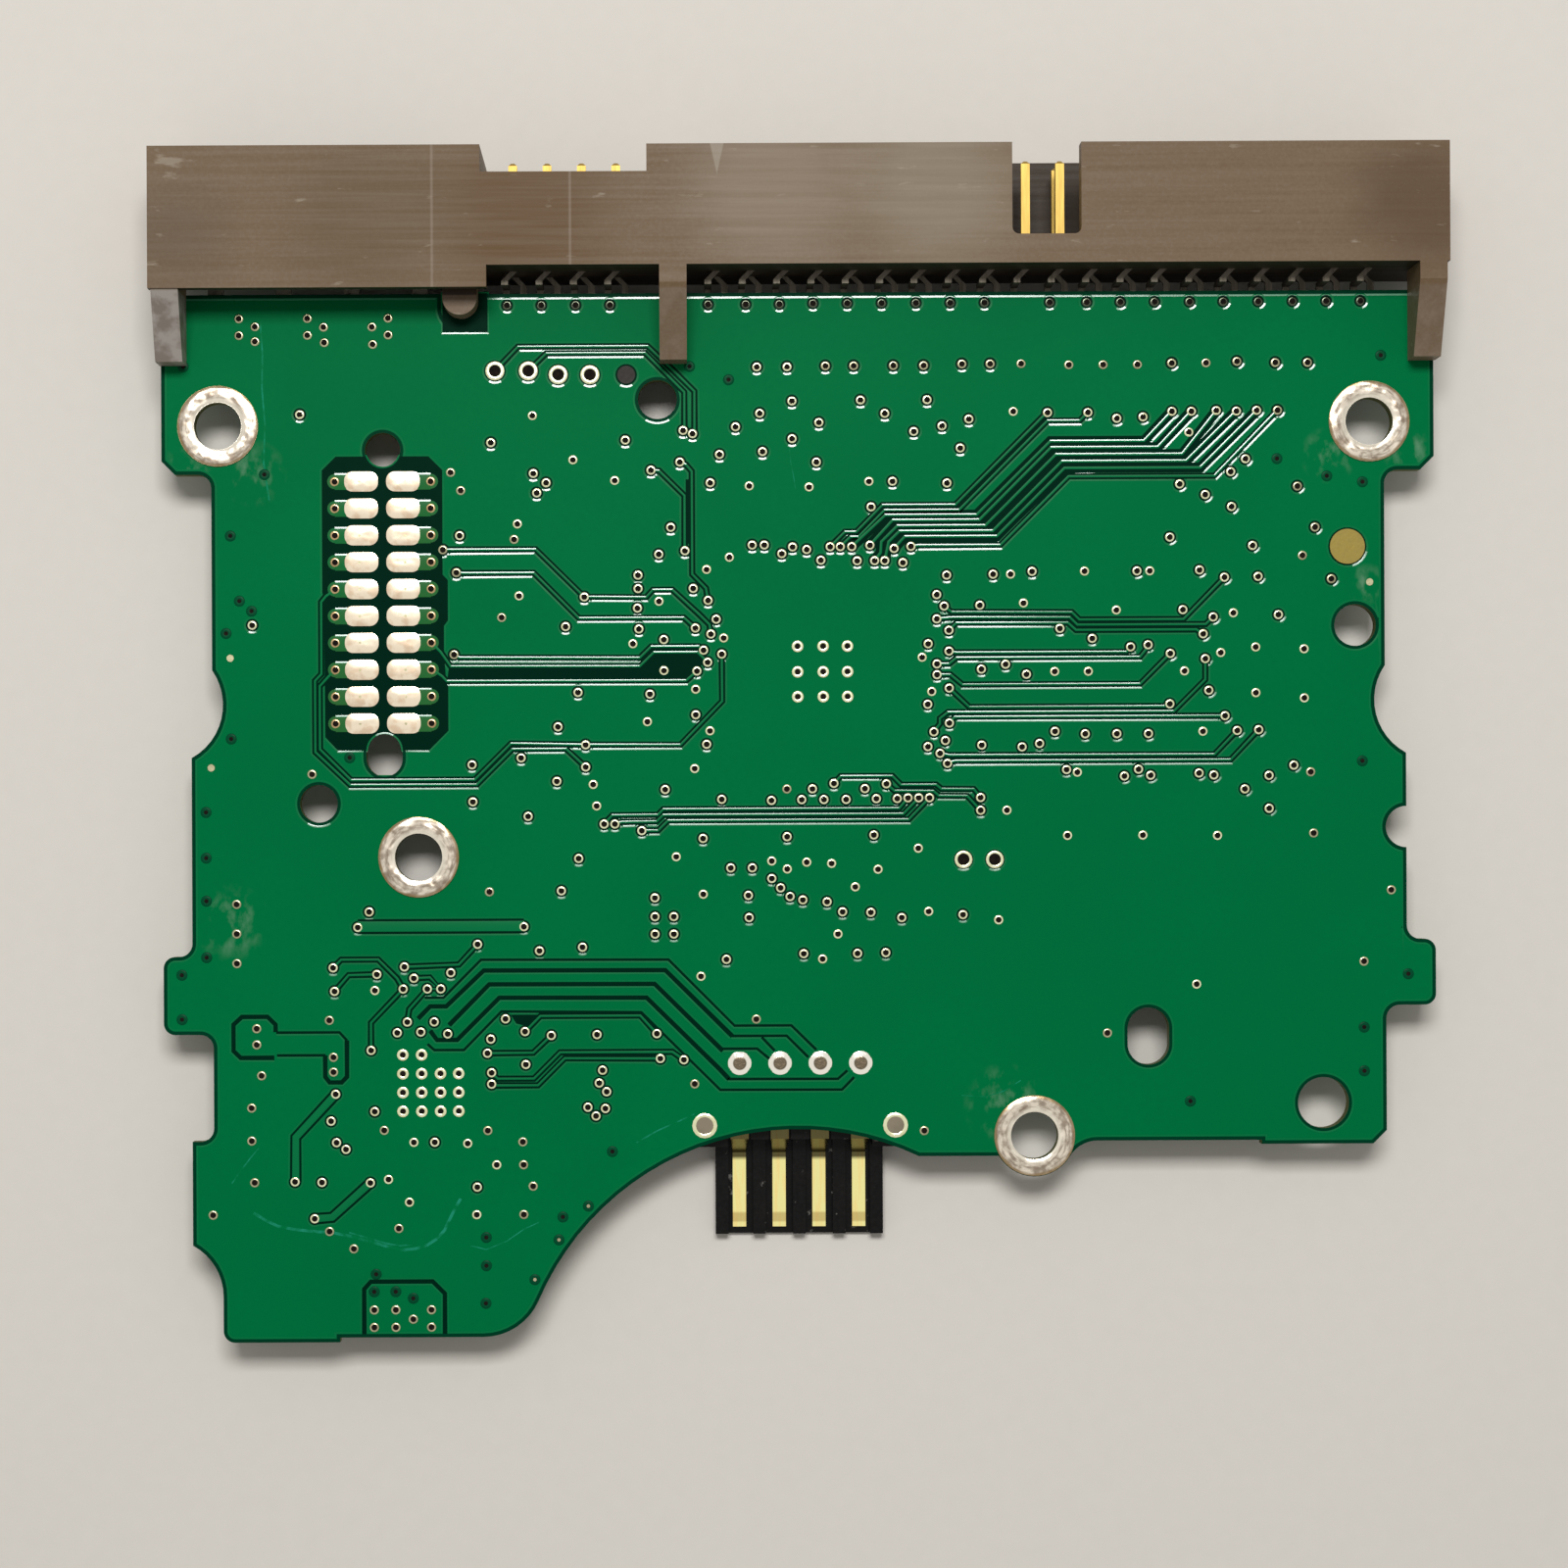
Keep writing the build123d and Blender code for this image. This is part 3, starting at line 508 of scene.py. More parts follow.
@dataclass(frozen=True)
class MouldFinish:
    """Moulded plastic or epoxy moulding compound.

    A spark eroded mould leaves an even fine grain, and a little dust dulls it.
    Pale specks are painted into the colour: torn crumbs of the moulding, with the painted highlights that they
    catch.
    """

    name: str
    colour: str
    dust: str
    grain: float = 0.12
    roughness: float = 0.5
    specular: float = 0.3
    crumbs_and_glints: float = 0.0
    crumb: str = "#8C8A84"

    def make(self) -> Material:
        """Build the material.

        Returns:
            The finished material.
        """
        sheet = start_sheet(self.name)
        fine = sheet.patches(self.grain)
        colour = sheet.overlay(self.colour, self.dust, sheet.patches(2.4, 3.0), 0.45, 0.75, most=0.5)
        # Pale specks: torn crumbs, and painted highlights on them.
        if self.crumbs_and_glints:
            colour = sheet.overlay(colour, self.crumb, sheet.patches(0.9, 6.0), 0.64, 0.7, most=self.crumbs_and_glints)
        sheet.feed(Base_Color=colour, Specular_IOR_Level=self.specular)
        sheet.roughen(fine, self.roughness, 0.15)
        sheet.bump(fine, self.grain * 0.04, 0.7)
        return sheet.material


@dataclass(frozen=True)
class ScratchFinish:
    """A scratch that frosted the mask: it skips, so the sound mask shows between its dashes."""

    frosted: str = "#1F8C6E"
    sound: str = "#006F3D"

    def make(self) -> Material:
        """Build the material.

        Returns:
            The finished material.
        """
        sheet = start_sheet("scratched_mask")
        skip = sheet.patches(0.9, 5.0)
        sheet.feed(Base_Color=sheet.overlay(self.sound, self.frosted, skip, 0.42, 0.62, most=0.9),
                   Specular_IOR_Level=0.02)
        sheet.roughen(skip, 0.32, 0.28, 0.4, 0.6)
        return sheet.material


@dataclass(frozen=True)
class CeramicFinish:
    """Fired ceramic of a chip part's body, matt and even; its tinned ends are a piece of their own."""

    name: str
    colour: str
    speck: str
    roughness: float = 0.38

    def make(self) -> Material:
        """Build the material.

        Returns:
            The finished material.
        """
        sheet = start_sheet(self.name)
        fine = sheet.patches(0.18, 3.0)
        sheet.feed(Base_Color=sheet.overlay(self.colour, self.speck, fine, 0.55, 0.75, most=0.6))
        sheet.roughen(fine, self.roughness, 0.2)
        sheet.bump(fine, 0.015, 0.5)
        return sheet.material


@dataclass(frozen=True)
class MaskFinish:
    """Cured green solder mask, curtain coated.

    Over copper it looks a clear mid green, over bare laminate nearly black green.
    It is satin; on the rounded edges that face the lamp a lighter, glossier copy paints the highlight.
    Each smear is the X, Y and reach of dried flux.
    """

    name: str
    colour: str
    shade: str
    roughness: float
    specular: float
    smears: tuple[Place, ...] = ()
    laminate_sides: bool = False
    smooth: bool = False
    flux: str = "#A9C2AE"
    resin: str = "#6E6C3C"
    glass: str = "#45512C"

    def smeared(self, sheet: Sheet, colour: Any) -> Any:
        """Lay dried flux over the colour, in streaks round the hand worked places.

        Args:
            sheet: the material's parts.
            colour: the mask's colour.

        Returns:
            The colour with the smears on it.
        """
        tree = sheet.tree
        streaks = add_node(
            tree, "ShaderNodeMapRange", (sheet.patches(1.6, 6.0, (1.3, 0.8, 1.0)), 0.5, 0.75, 0.0, 0.34))
        film: Any = 0.0
        for x, y, reach in self.smears:
            near = add_node(tree, "ShaderNodeMapRange",
                            (sheet.nearest([(x, y)], FACE), reach * 0.3 * MM, reach * MM, 1.0, 0.0))
            film = add_node(tree, "ShaderNodeMath", (film, near), operation="MAXIMUM")
        share = add_node(tree, "ShaderNodeMath", (film, streaks), operation="MULTIPLY")
        return sheet.overlay(colour, self.flux, share)

    def sawn(self, sheet: Sheet, colour: Any) -> Any:
        """Show the sawn laminate on the board's sides: yellowish resin in thin layers.

        Args:
            sheet: the material's parts.
            colour: the colour of the level faces.

        Returns:
            The colour for the whole board.
        """
        level = add_node(sheet.tree, "ShaderNodeMath", (sheet.facing("Z"),), operation="ABSOLUTE")
        side = sheet.overlay(self.resin, self.glass, sheet.patches(0.9, 3.0, (0.5, 0.5, 9.0)), 0.35, 0.65)
        return sheet.overlay(side, colour, level, 0.5, 0.7)

    def make(self) -> Material:
        """Build the material.

        Returns:
            The finished material.
        """
        sheet = start_sheet(self.name)
        # The weave of the laminate shows through as a faint 0.5 mm unevenness.
        weave = sheet.patches(0.5)
        colour = sheet.overlay(self.colour, self.shade, sheet.patches(14.0, 3.0), 0.35, 0.7, most=0.5)
        colour = sheet.overlay(colour, self.shade, weave, 0.35, 0.75, most=0.3)
        if self.smears:
            colour = self.smeared(sheet, colour)
        if self.laminate_sides:
            colour = self.sawn(sheet, colour)
        sheet.feed(Base_Color=colour, Specular_IOR_Level=self.specular)
        sheet.roughen(weave, self.roughness, 0.04)
        if not self.smooth:
            sheet.bump(weave, 0.004, 0.5)
        return sheet.material


@dataclass(frozen=True)
class JointFinish:
    """Hand soldered pin joints: a bright solder collar round a dull cut pin end."""

    centres: tuple[Point, ...]
    height: float
    collar: str = "#FBF7EA"
    pin: str = "#7E715B"
    pitted: str = "#5B5145"

    def make(self) -> Material:
        """Build the material.

        Returns:
            The finished material.
        """
        sheet = start_sheet("hand_soldered_tin")
        core = add_node(sheet.tree, "ShaderNodeMapRange",
                        (sheet.nearest(self.centres, self.height), 0.46 * MM, 0.54 * MM, 1.0, 0.0))
        grain = sheet.patches(0.3, 3.0)
        pin = sheet.overlay(self.pin, self.pitted, grain)
        sheet.feed(Base_Color=sheet.overlay(self.collar, pin, core), Metallic=1.0)
        sheet.roughen(core, 0.15, 0.15, 0.0, 1.0)
        sheet.bump(grain, 0.03)
        return sheet.material


@dataclass(frozen=True)
class BoreFinish:
    """The shadowed inside of a plated bore: nearly black, with a trace of brown flux."""

    colour: str = "#0B0806"
    flux: str = "#1E140D"

    def make(self) -> Material:
        """Build the material.

        Returns:
            The finished material.
        """
        sheet = start_sheet("plated_bore_shadow")
        sheet.feed(Base_Color=sheet.overlay(self.colour, self.flux, sheet.patches(0.25), 0.4, 0.7),
                   Roughness=0.8, Specular_IOR_Level=0.1)
        return sheet.material


# ---- meshes


def mesh_of(name: str, points: Iterable[Any], edges: Iterable[Any] = (), faces: Iterable[Any] = (),
            finish: Material | None = None) -> Mesh:
    """Make a mesh from its parts.

    Args:
        name: the mesh's name.
        points: its points, in metres.
        edges: the pairs of points that its edges join.
        faces: the points round each face.
        finish: its finish, if it has faces.

    Returns:
        The mesh.
    """
    mesh = bpy.data.meshes.new(name)
    mesh.from_pydata(list(points), list(edges), list(faces))
    if finish is not None:
        mesh.materials.append(finish)
    return mesh


def lifted(level: float, number: int) -> float:
    """Give a height in metres: the level, and the hair of the shape's number."""
    return (level + HAIR * (number % HAIRS)) * MM


def line_mesh(paths: Iterable[Path], level: float, closed: bool = False) -> Mesh:
    """Lay paths out as edges, each a hair above the last so that none lie in one plane.

    Args:
        paths: the paths' points.
        level: the height of the first path.
        closed: True where each path ends at its first point.

    Returns:
        A mesh of edges.
    """
    points: list[Place] = []
    edges: list[tuple[int, int]] = []
    for number, path in enumerate(paths):
        first = len(points)
        points += [(x * MM, y * MM, lifted(level, number)) for x, y in path]
        edges += [(i, i + 1) for i in range(first, len(points) - 1)]
        if closed:
            edges.append((len(points) - 1, first))
    return mesh_of("paths", points, edges)


def point_mesh(places: Iterable[Point], level: float) -> Mesh:
    """Lay places out as loose points, each a hair above the last.

    Args:
        places: the places.
        level: the height of the first.

    Returns:
        A mesh of points.
    """
    return mesh_of("points", ((x * MM, y * MM, lifted(level, i)) for i, (x, y) in enumerate(places)))


def pool_mesh(outlines: Iterable[Path], level: float, finish: Material) -> Mesh:
    """Fill flat outlines.

    Args:
        outlines: the outlines, each anticlockwise.
        level: the height of the first.
        finish: their finish.

    Returns:
        One mesh with a face for each outline.
    """
    points: list[Place] = []
    faces: list[tuple[int, ...]] = []
    for number, outline in enumerate(outlines):
        faces.append(tuple(range(len(points), len(points) + len(outline))))
        points += [(x * MM, y * MM, lifted(level, number)) for x, y in outline]
    return mesh_of("pools", points, faces=faces, finish=finish)


def ring_faces(first: int, count: int, rings: int, outward: bool = False) -> list[tuple[int, int, int, int]]:
    """Give the faces between rings of points that follow one another.

    Args:
        first: the number of the first ring's first point.
        count: how many points each ring has, anticlockwise seen from above.
        rings: how many bands of faces lie between the rings.
        outward: True where each ring lies outside the last.

    Returns:
        The faces, looking up.
    """
    faces = []
    for ring in range(rings):
        for i in range(count):
            a, b = first + ring * count + i, first + ring * count + (i + 1) % count
            faces.append((a, a + count, b + count, b) if outward else (a, b, b + count, a + count))
    return faces


def anticlockwise(outline: Path) -> Path:
    """Turn an outline so that it runs anticlockwise seen from above."""
    area = sum(a[0] * b[1] - b[0] * a[1] for a, b in zip(outline, outline[1:] + outline[:1]))
    return outline if area > 0 else tuple(reversed(outline))


# ---- studio


@dataclass
class Studio:
    """Pale floor, soft light and the camera over the board, in millimetres and degrees."""

    camera_place: Place = (-8.75, -8.0, 250.5)
    camera_turn: float = -0.26
    lens: float = 75.95
    shift: Point = (0.0653, 0.0459)
    lamp_place: Place = (-16.0, 182.0, 456.0)
    lamp_aim: Place = (-9.0, -8.0, 4.5)
    lamp_half_angles: Point = (12.0, 6.5)
    lamp_level: float = 0.68
    sky_level: float = 0.36
    pale_level: float = 0.86
    sky_colour: str = "#F7F5F2"
    floor_size: float = 2400.0
    floor_colour: str = "#DAD5CD"
    floor_fibre: str = "#D2CDC5"

    def add_camera(self) -> None:
        """Place the camera straight above the board."""
        data = bpy.data.cameras.new("camera")
        data.sensor_width, data.lens = 36.0, self.lens
        data.shift_x, data.shift_y = self.shift
        data.clip_start, data.clip_end = 0.01, 20.0
        camera = bpy.data.objects.new("camera", data)
        camera.location = Vector(self.camera_place) * MM
        camera.rotation_euler = (0.0, 0.0, math.radians(self.camera_turn))
        bpy.context.scene.collection.objects.link(camera)
        bpy.context.scene.camera = camera

    def add_lamp(self) -> None:
        """Hang one soft square lamp beyond the board's connector edge."""
        place, aim = Vector(self.lamp_place) * MM, Vector(self.lamp_aim) * MM
        reach = (place - aim).length
        width, depth = (2 * reach * math.tan(math.radians(a)) for a in self.lamp_half_angles)
        upright = (place - aim).normalized().z
        # A white face that lies flat under the lamp comes out at lamp_level.
        brightness = self.lamp_level * math.pi * reach ** 2 / (width * depth * upright)
        data = bpy.data.lights.new("soft_lamp", "AREA")
        data.shape, data.size, data.size_y = "RECTANGLE", width, depth
        data.energy = brightness * math.pi * width * depth
        lamp = bpy.data.objects.new("soft_lamp", data)
        lamp.location = place
        lamp.rotation_euler = (aim - place).to_track_quat("-Z", "Y").to_euler()
        bpy.context.scene.collection.objects.link(lamp)

    def add_sky(self) -> None:
        """Light the scene evenly from all round, pale where the camera or gloss sees it."""
        world = bpy.data.worlds.new("pale_room")
        world.use_nodes = True
        tree = world.node_tree
        tree.nodes.clear()
        path = add_node(tree, "ShaderNodeLightPath")
        seen: Any = 0.0
        for kind in ("Camera", "Glossy", "Transmission"):
            ray = path.outputs[f"Is {kind} Ray"]
            seen = add_node(tree, "ShaderNodeMath", (seen, ray), operation="ADD", use_clamp=True)
        level = add_node(tree, "ShaderNodeMapRange", (seen, 0.0, 1.0, self.sky_level, self.pale_level))
        back = add_node(tree, "ShaderNodeBackground", {"Color": self.sky_colour, "Strength": level})
        add_node(tree, "ShaderNodeOutputWorld", {"Surface": back})
        bpy.context.scene.world = world

    def add_floor(self) -> None:
        """Lay the plain pale floor under the board."""
        half = self.floor_size / 2 * MM
        # Matt paper: dull and even, with the faintest cloud of fibres.
        sheet = start_sheet("matt_paper")
        fibres = sheet.patches(1.4, 4.0)
        colour = sheet.overlay(self.floor_colour, self.floor_fibre, fibres, 0.3, 0.7, most=0.25)
        sheet.feed(Base_Color=colour, Roughness=0.9, Specular_IOR_Level=0.15)
        mesh = mesh_of("floor", [(-half, -half, 0), (half, -half, 0), (half, half, 0), (-half, half, 0)],
                       faces=[(0, 1, 2, 3)], finish=sheet.material)
        floor = bpy.data.objects.new("floor", mesh)
        bpy.context.scene.collection.objects.link(floor)

    def set_up(self) -> None:
        """Make the camera, the lamp, the sky and the floor."""
        self.add_camera()
        self.add_lamp()
        self.add_sky()
        self.add_floor()
        bpy.context.scene.view_settings.view_transform = "Standard"


# ---- node trees


@dataclass(frozen=True)
class Section:
    """Four points across a ribbon: how far right of its path, and how high."""

    across: tuple[float, float, float, float]
    height: tuple[float, float, float, float]

    def turned(self) -> "Section":
        """Give the same section on the other side of the path."""
        return Section(tuple(-a for a in reversed(self.across)), tuple(reversed(self.height)))


def evaluated(tree: NodeTree, mesh: Mesh, values: dict[str, Any]) -> Mesh:
    """Run a node tree on a mesh and keep the result as a plain mesh.

    Args:
        tree: the geometry node tree.
        mesh: the mesh it starts from.
        values: the tree's inputs by name.

    Returns:
        The new mesh, with no modifier left.
    """
    holder = bpy.data.objects.new("holder", mesh)
    bpy.context.scene.collection.objects.link(holder)
    modifier = holder.modifiers.new("tree", "NODES")
    modifier.node_group = tree
    sockets = {item.name: item.identifier for item in tree.interface.items_tree
               if item.item_type == "SOCKET" and item.in_out == "INPUT"}
    for name, value in values.items():
        modifier[sockets[name]] = value
    graph = bpy.context.evaluated_depsgraph_get()
    made = bpy.data.meshes.new_from_object(holder.evaluated_get(graph))
    bpy.data.objects.remove(holder)
    return made


def start_tree(name: str, inputs: dict[str, str]) -> tuple[NodeTree, Node]:
    """Start a geometry node tree.

    Args:
        name: the tree's name.
        inputs: the name and socket type of each input after the geometry.

    Returns:
        The tree and its input node.
    """
    tree = bpy.data.node_groups.new(name, "GeometryNodeTree")
    tree.interface.new_socket("Geometry", in_out="INPUT", socket_type="NodeSocketGeometry")
    for label, kind in inputs.items():
        tree.interface.new_socket(label, in_out="INPUT", socket_type=kind)
    tree.interface.new_socket("Geometry", in_out="OUTPUT", socket_type="NodeSocketGeometry")
    return tree, add_node(tree, "NodeGroupInput")


def end_tree(tree: NodeTree, start: Node, shape: Any) -> None:
    """Realize the instances, set the material and join the tree's output.

    Args:
        tree: the geometry node tree.
        start: its input node, which has a Material input.
        shape: the node whose geometry is the result.
    """
    real = add_node(tree, "GeometryNodeRealizeInstances", (shape,))
    painted = add_node(tree, "GeometryNodeSetMaterial", {0: real, "Material": start.outputs["Material"]})
    add_node(tree, "NodeGroupOutput", {0: painted})


@dataclass
class SweepTree:
    """Sweeps a four point section along paths, or round a ring at every point."""

    name: str
    rings: bool = False
    tree: NodeTree | None = None

    def build(self) -> None:
        """Make the node tree."""
        inputs = {f"{word} {i}": "NodeSocketFloat" for word in ("Across", "Height") for i in range(1, 5)}
        inputs |= {"Material": "NodeSocketMaterial", "Ring Radius": "NodeSocketFloat",
                   "Ring Sides": "NodeSocketInt"}
        self.tree, start = start_tree(self.name, inputs)
        if self.rings:
            ring = add_node(self.tree, "GeometryNodeCurvePrimitiveCircle", {
                "Resolution": start.outputs["Ring Sides"], "Radius": start.outputs["Ring Radius"]})
            placed = add_node(self.tree, "GeometryNodeInstanceOnPoints", {"Points": start, "Instance": ring})
            path = add_node(self.tree, "GeometryNodeRealizeInstances", (placed,))
        else:
            path = add_node(self.tree, "GeometryNodeMeshToCurve", (start,))
        level = add_node(self.tree, "GeometryNodeSetCurveNormal", {0: path}, mode="Z_UP")
        count = add_node(self.tree, "GeometryNodeInputIndex")
        ends = []
        for word in ("Across", "Height"):
            choice = add_node(self.tree, "GeometryNodeIndexSwitch", data_type="FLOAT")
            while len(choice.index_switch_items) < 4:
                choice.index_switch_items.new()
            plug(self.tree, choice.inputs[0], count)
            for i in range(1, 5):
                plug(self.tree, choice.inputs[i], start.outputs[f"{word} {i}"])
            ends.append(choice)
        # A section's own Y points down once its path lies flat, so heights change sign.
        down = add_node(self.tree, "ShaderNodeMath", (ends[1], -1.0), operation="MULTIPLY")
        spot = add_node(self.tree, "ShaderNodeCombineXYZ", (ends[0], down))
        points = add_node(self.tree, "GeometryNodeMeshLine", {"Count": 4})
        bent = add_node(self.tree, "GeometryNodeSetPosition", {0: points, "Position": spot})
        section = add_node(self.tree, "GeometryNodeMeshToCurve", (bent,))
        swept = add_node(self.tree, "GeometryNodeCurveToMesh", (level, section))
        end_tree(self.tree, start, swept)

    def run(self, mesh: Mesh, section: Section, material: Material,
            radius: float = 0.0, sides: int = 14) -> Mesh:
        """Sweep one section.

        Args:
            mesh: the paths as edges, or the rings' centres as points.
            section: the ribbon's section.
            material: its finish.
            radius: the ring's radius.
            sides: how many straight sides a ring has.

        Returns:
            The ribbons as one mesh.
        """
        if self.tree is None:
            self.build()
        values: dict[str, Any] = {"Material": material, "Ring Radius": radius * MM, "Ring Sides": sides}
        for i in range(4):
            values[f"Across {i + 1}"] = section.across[i] * MM
            values[f"Height {i + 1}"] = section.height[i] * MM
        return evaluated(self.tree, mesh, values)


@dataclass
class DiscTree:
    """Lays a flat disc on every point."""

    name: str
    tree: NodeTree | None = None

    def build(self) -> None:
        """Make the node tree."""
        inputs = {"Disc Radius": "NodeSocketFloat", "Disc Sides": "NodeSocketInt"}
        self.tree, start = start_tree(self.name, inputs | {"Material": "NodeSocketMaterial"})
        disc = add_node(self.tree, "GeometryNodeMeshCircle",
                        {"Vertices": start.outputs["Disc Sides"], "Radius": start.outputs["Disc Radius"]},
                        fill_type="NGON")
        placed = add_node(self.tree, "GeometryNodeInstanceOnPoints", {"Points": start, "Instance": disc})
        end_tree(self.tree, start, placed)

    def run(self, places: Iterable[Point], level: float, material: Material, radius: float,
            sides: int = 14) -> Mesh:
        """Lay the discs.

        Args:
            places: the discs' centres.
            level: the height of the first.
            material: their finish.
            radius: a disc's radius.
            sides: how many straight sides it has.

        Returns:
            The discs as one mesh.
        """
        if self.tree is None:
            self.build()
        return evaluated(self.tree, point_mesh(places, level),
                         {"Disc Radius": radius * MM, "Disc Sides": sides, "Material": material})


@dataclass
class BoxTree:
    """Stands a box on every point, turned and sized by the point's own attributes."""

    name: str
    tree: NodeTree | None = None

    def build(self) -> None:
        """Make the node tree."""
        self.tree, start = start_tree(self.name, {"Material": "NodeSocketMaterial"})
        box = add_node(self.tree, "GeometryNodeMeshCube", {"Size": (1.0, 1.0, 1.0)})
        turn, size = (add_node(self.tree, "GeometryNodeInputNamedAttribute", {"Name": name},
                               data_type="FLOAT_VECTOR") for name in ("turn", "size"))
        placed = add_node(self.tree, "GeometryNodeInstanceOnPoints",
                          {"Points": start, "Instance": box, "Rotation": turn, "Scale": size})
        end_tree(self.tree, start, placed)

    def run(self, places: list[tuple[Vector, float, Vector]], material: Material) -> Mesh:
        """Stand the boxes.

        Args:
            places: each box's middle, its turn about Z in radians and its size, in metres.
            material: their finish.

        Returns:
            The boxes as one mesh.
        """
        if self.tree is None:
            self.build()
        mesh = mesh_of("box_points", (middle for middle, _, _ in places))
        turns, sizes = (mesh.attributes.new(name, "FLOAT_VECTOR", "POINT") for name in ("turn", "size"))
        for i, (_, turn, size) in enumerate(places):
            turns.data[i].vector = (0.0, 0.0, turn)
            sizes.data[i].vector = size
        boxes = evaluated(self.tree, mesh, {"Material": material})
        for name in ("turn", "size"):
            if name in boxes.attributes:
                boxes.attributes.remove(boxes.attributes[name])
        return boxes


@dataclass(frozen=True)
class HighlightFacing:
    """Which sloping faces take the lighter, glossier mask that paints the highlight: those facing the lamp.

    They look straight towards the connector, and turn aslant between the X slant_start and
    slant_end. Below the Y straight_below they look straight, as far as the X straight_end.
    No face takes the highlight below the Y lowest.
    """

    slant_start: float
    slant_end: float
    straight_below: float = -99.0
    straight_end: float = 99.0
    lowest: float = -20.0

    def takes_highlight(self, face: BMFace) -> bool:
        """Tell whether a sloping face looks towards the lamp enough to take the painted highlight.

        Args:
            face: a face of the mask's edge.

        Returns:
            True where the face takes the painted highlight.
        """
        middle = face.calc_center_median() / MM
        straight = middle.y < self.straight_below
        if middle.y < self.lowest or (straight and middle.x > self.straight_end):
            return False
        share = (middle.x - self.slant_start) / (self.slant_end - self.slant_start)
        share = 0.0 if straight else min(max(share, 0.0), 1.0)
        # The way that a face must look to take the painted highlight.
        run = Vector((-share, 1.0)).normalized()
        slope = Vector((face.normal.x, face.normal.y))
        return slope.length > 0.02 and slope.normalized().dot(run) > 0.85


def add_piece(name: str, parts: Iterable[Mesh], crease: float = 35.0,
              highlighted: Material | None = None, highlight_rule: HighlightFacing | None = None) -> Object:
    """Join meshes into one piece that rides on the board.

    Args:
        name: the piece's name.
        parts: its meshes, each with one finish.
        crease: the angle, in degrees, past which an edge stays sharp.
        highlighted: the lighter, glossier finish that paints the highlight on slopes facing the lamp, if the
            piece has any.
        highlight_rule: which slopes those are.

    Returns:
        The piece.
    """
    whole = bmesh.new()
    materials: list[Material] = []
    for part in parts:
        materials += [m for m in part.materials if m is not None and m not in materials]
        places = [materials.index(m) if m is not None else 0 for m in part.materials]
        before = len(whole.faces)
        whole.from_mesh(part)
        whole.faces.ensure_lookup_table()
        for face in whole.faces[before:]:
            face.material_index = places[face.material_index]
        bpy.data.meshes.remove(part)
    # Slopes that face the lamp get the lighter, glossier mask: a painted highlight.
    if highlighted is not None and highlight_rule is not None:
        whole.normal_update()
        for face in whole.faces:
            if highlight_rule.takes_highlight(face):
                face.material_index = len(materials)
        materials.append(highlighted)
    mesh = bpy.data.meshes.new(name)
    whole.to_mesh(mesh)
    whole.free()
    for finish in materials:
        mesh.materials.append(finish)
    mesh.shade_smooth()
    mesh.set_sharp_from_angle(angle=math.radians(crease))
    piece = bpy.data.objects.new(name, mesh)
    bpy.context.scene.collection.objects.link(piece)
    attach(piece, "root")
    log.info("%s: %d faces", name, len(mesh.polygons))
    return piece


# ---- the board's copper


SWEEP = SweepTree("ribbon_along_paths")
BOXES = BoxTree("box_on_points")
RINGS = SweepTree("ring_on_points", rings=True)
DISCS = DiscTree("disc_on_points")


class Level(Enum):
    """Heights over the board's face, from the pour's edges up to the lands."""

    EDGE = 0.0
    GAP = 0.034
    TRACE = 0.039
    LAND = 0.043
    BORE = 0.067


# The pour's rounded edge, and how wide and high a trace's shoulders are.
EDGE_SLOPE = Section((0.0, 0.07, 0.15, 0.153), (0.0, 0.0112, 0.0163, 0.0))
SHOULDER, TRACE_RISE = 0.075, 0.0125
# The heads' spring contacts: the rows' Y, and the vias at the outer ends of their lands.
HEAD_ROWS = tuple(19.95 - 2.0 * row for row in range(10))
HEAD_VIA_COLUMNS = (-34.42, -27.29)


def shifted(section: Section, distance: float) -> Section:
    """Move a section away from its path by a distance in millimetres."""
    return Section(tuple(a + distance for a in section.across), section.height)


def flat(half: float) -> Section:
    """Give a flat section of a half width in millimetres."""
    return Section((-half, -half / 3, half / 3, half), (0.0, 0.0, 0.0, 0.0))


@dataclass(frozen=True)
class Run:
    """Traces of one width with the gap that is etched on both sides of them."""

    width: float
    gap: float
    paths: tuple[Path, ...]

    def edges(self, material: Material) -> list[Mesh]:
        """Make the pour's rounded edges along both sides.

        Args:
            material: the mask over the edges.

        Returns:
            The ribbons of both sides.
        """
        side = shifted(EDGE_SLOPE, self.width / 2 + self.gap)
        level = FACE + Level.EDGE.value
        return [SWEEP.run(line_mesh(self.paths, level), s, material) for s in (side, side.turned())]

    def gaps(self, material: Material) -> Mesh:
        """Make the etched floor under and beside the traces."""
        half = self.width / 2 + self.gap
        return SWEEP.run(line_mesh(self.paths, FACE + Level.GAP.value), flat(half), material)

    def traces(self, material: Material) -> Mesh:
        """Make the traces themselves, with rounded shoulders.

        Args:
            material: the mask over the copper.

        Returns:
            The traces as one mesh.
        """
        half = self.width / 2
        top = max(half - SHOULDER, half * 0.2)
        section = Section((-half, -top, top, half), (0.0, TRACE_RISE, TRACE_RISE, 0.0))
        return SWEEP.run(line_mesh(self.paths, FACE + Level.TRACE.value), section, material)


def grid(columns: Iterable[float], rows: Iterable[float]) -> Path:
    """Give every crossing of columns (X) and rows (Y), row by row."""
    return tuple((x, y) for y in rows for x in columns)


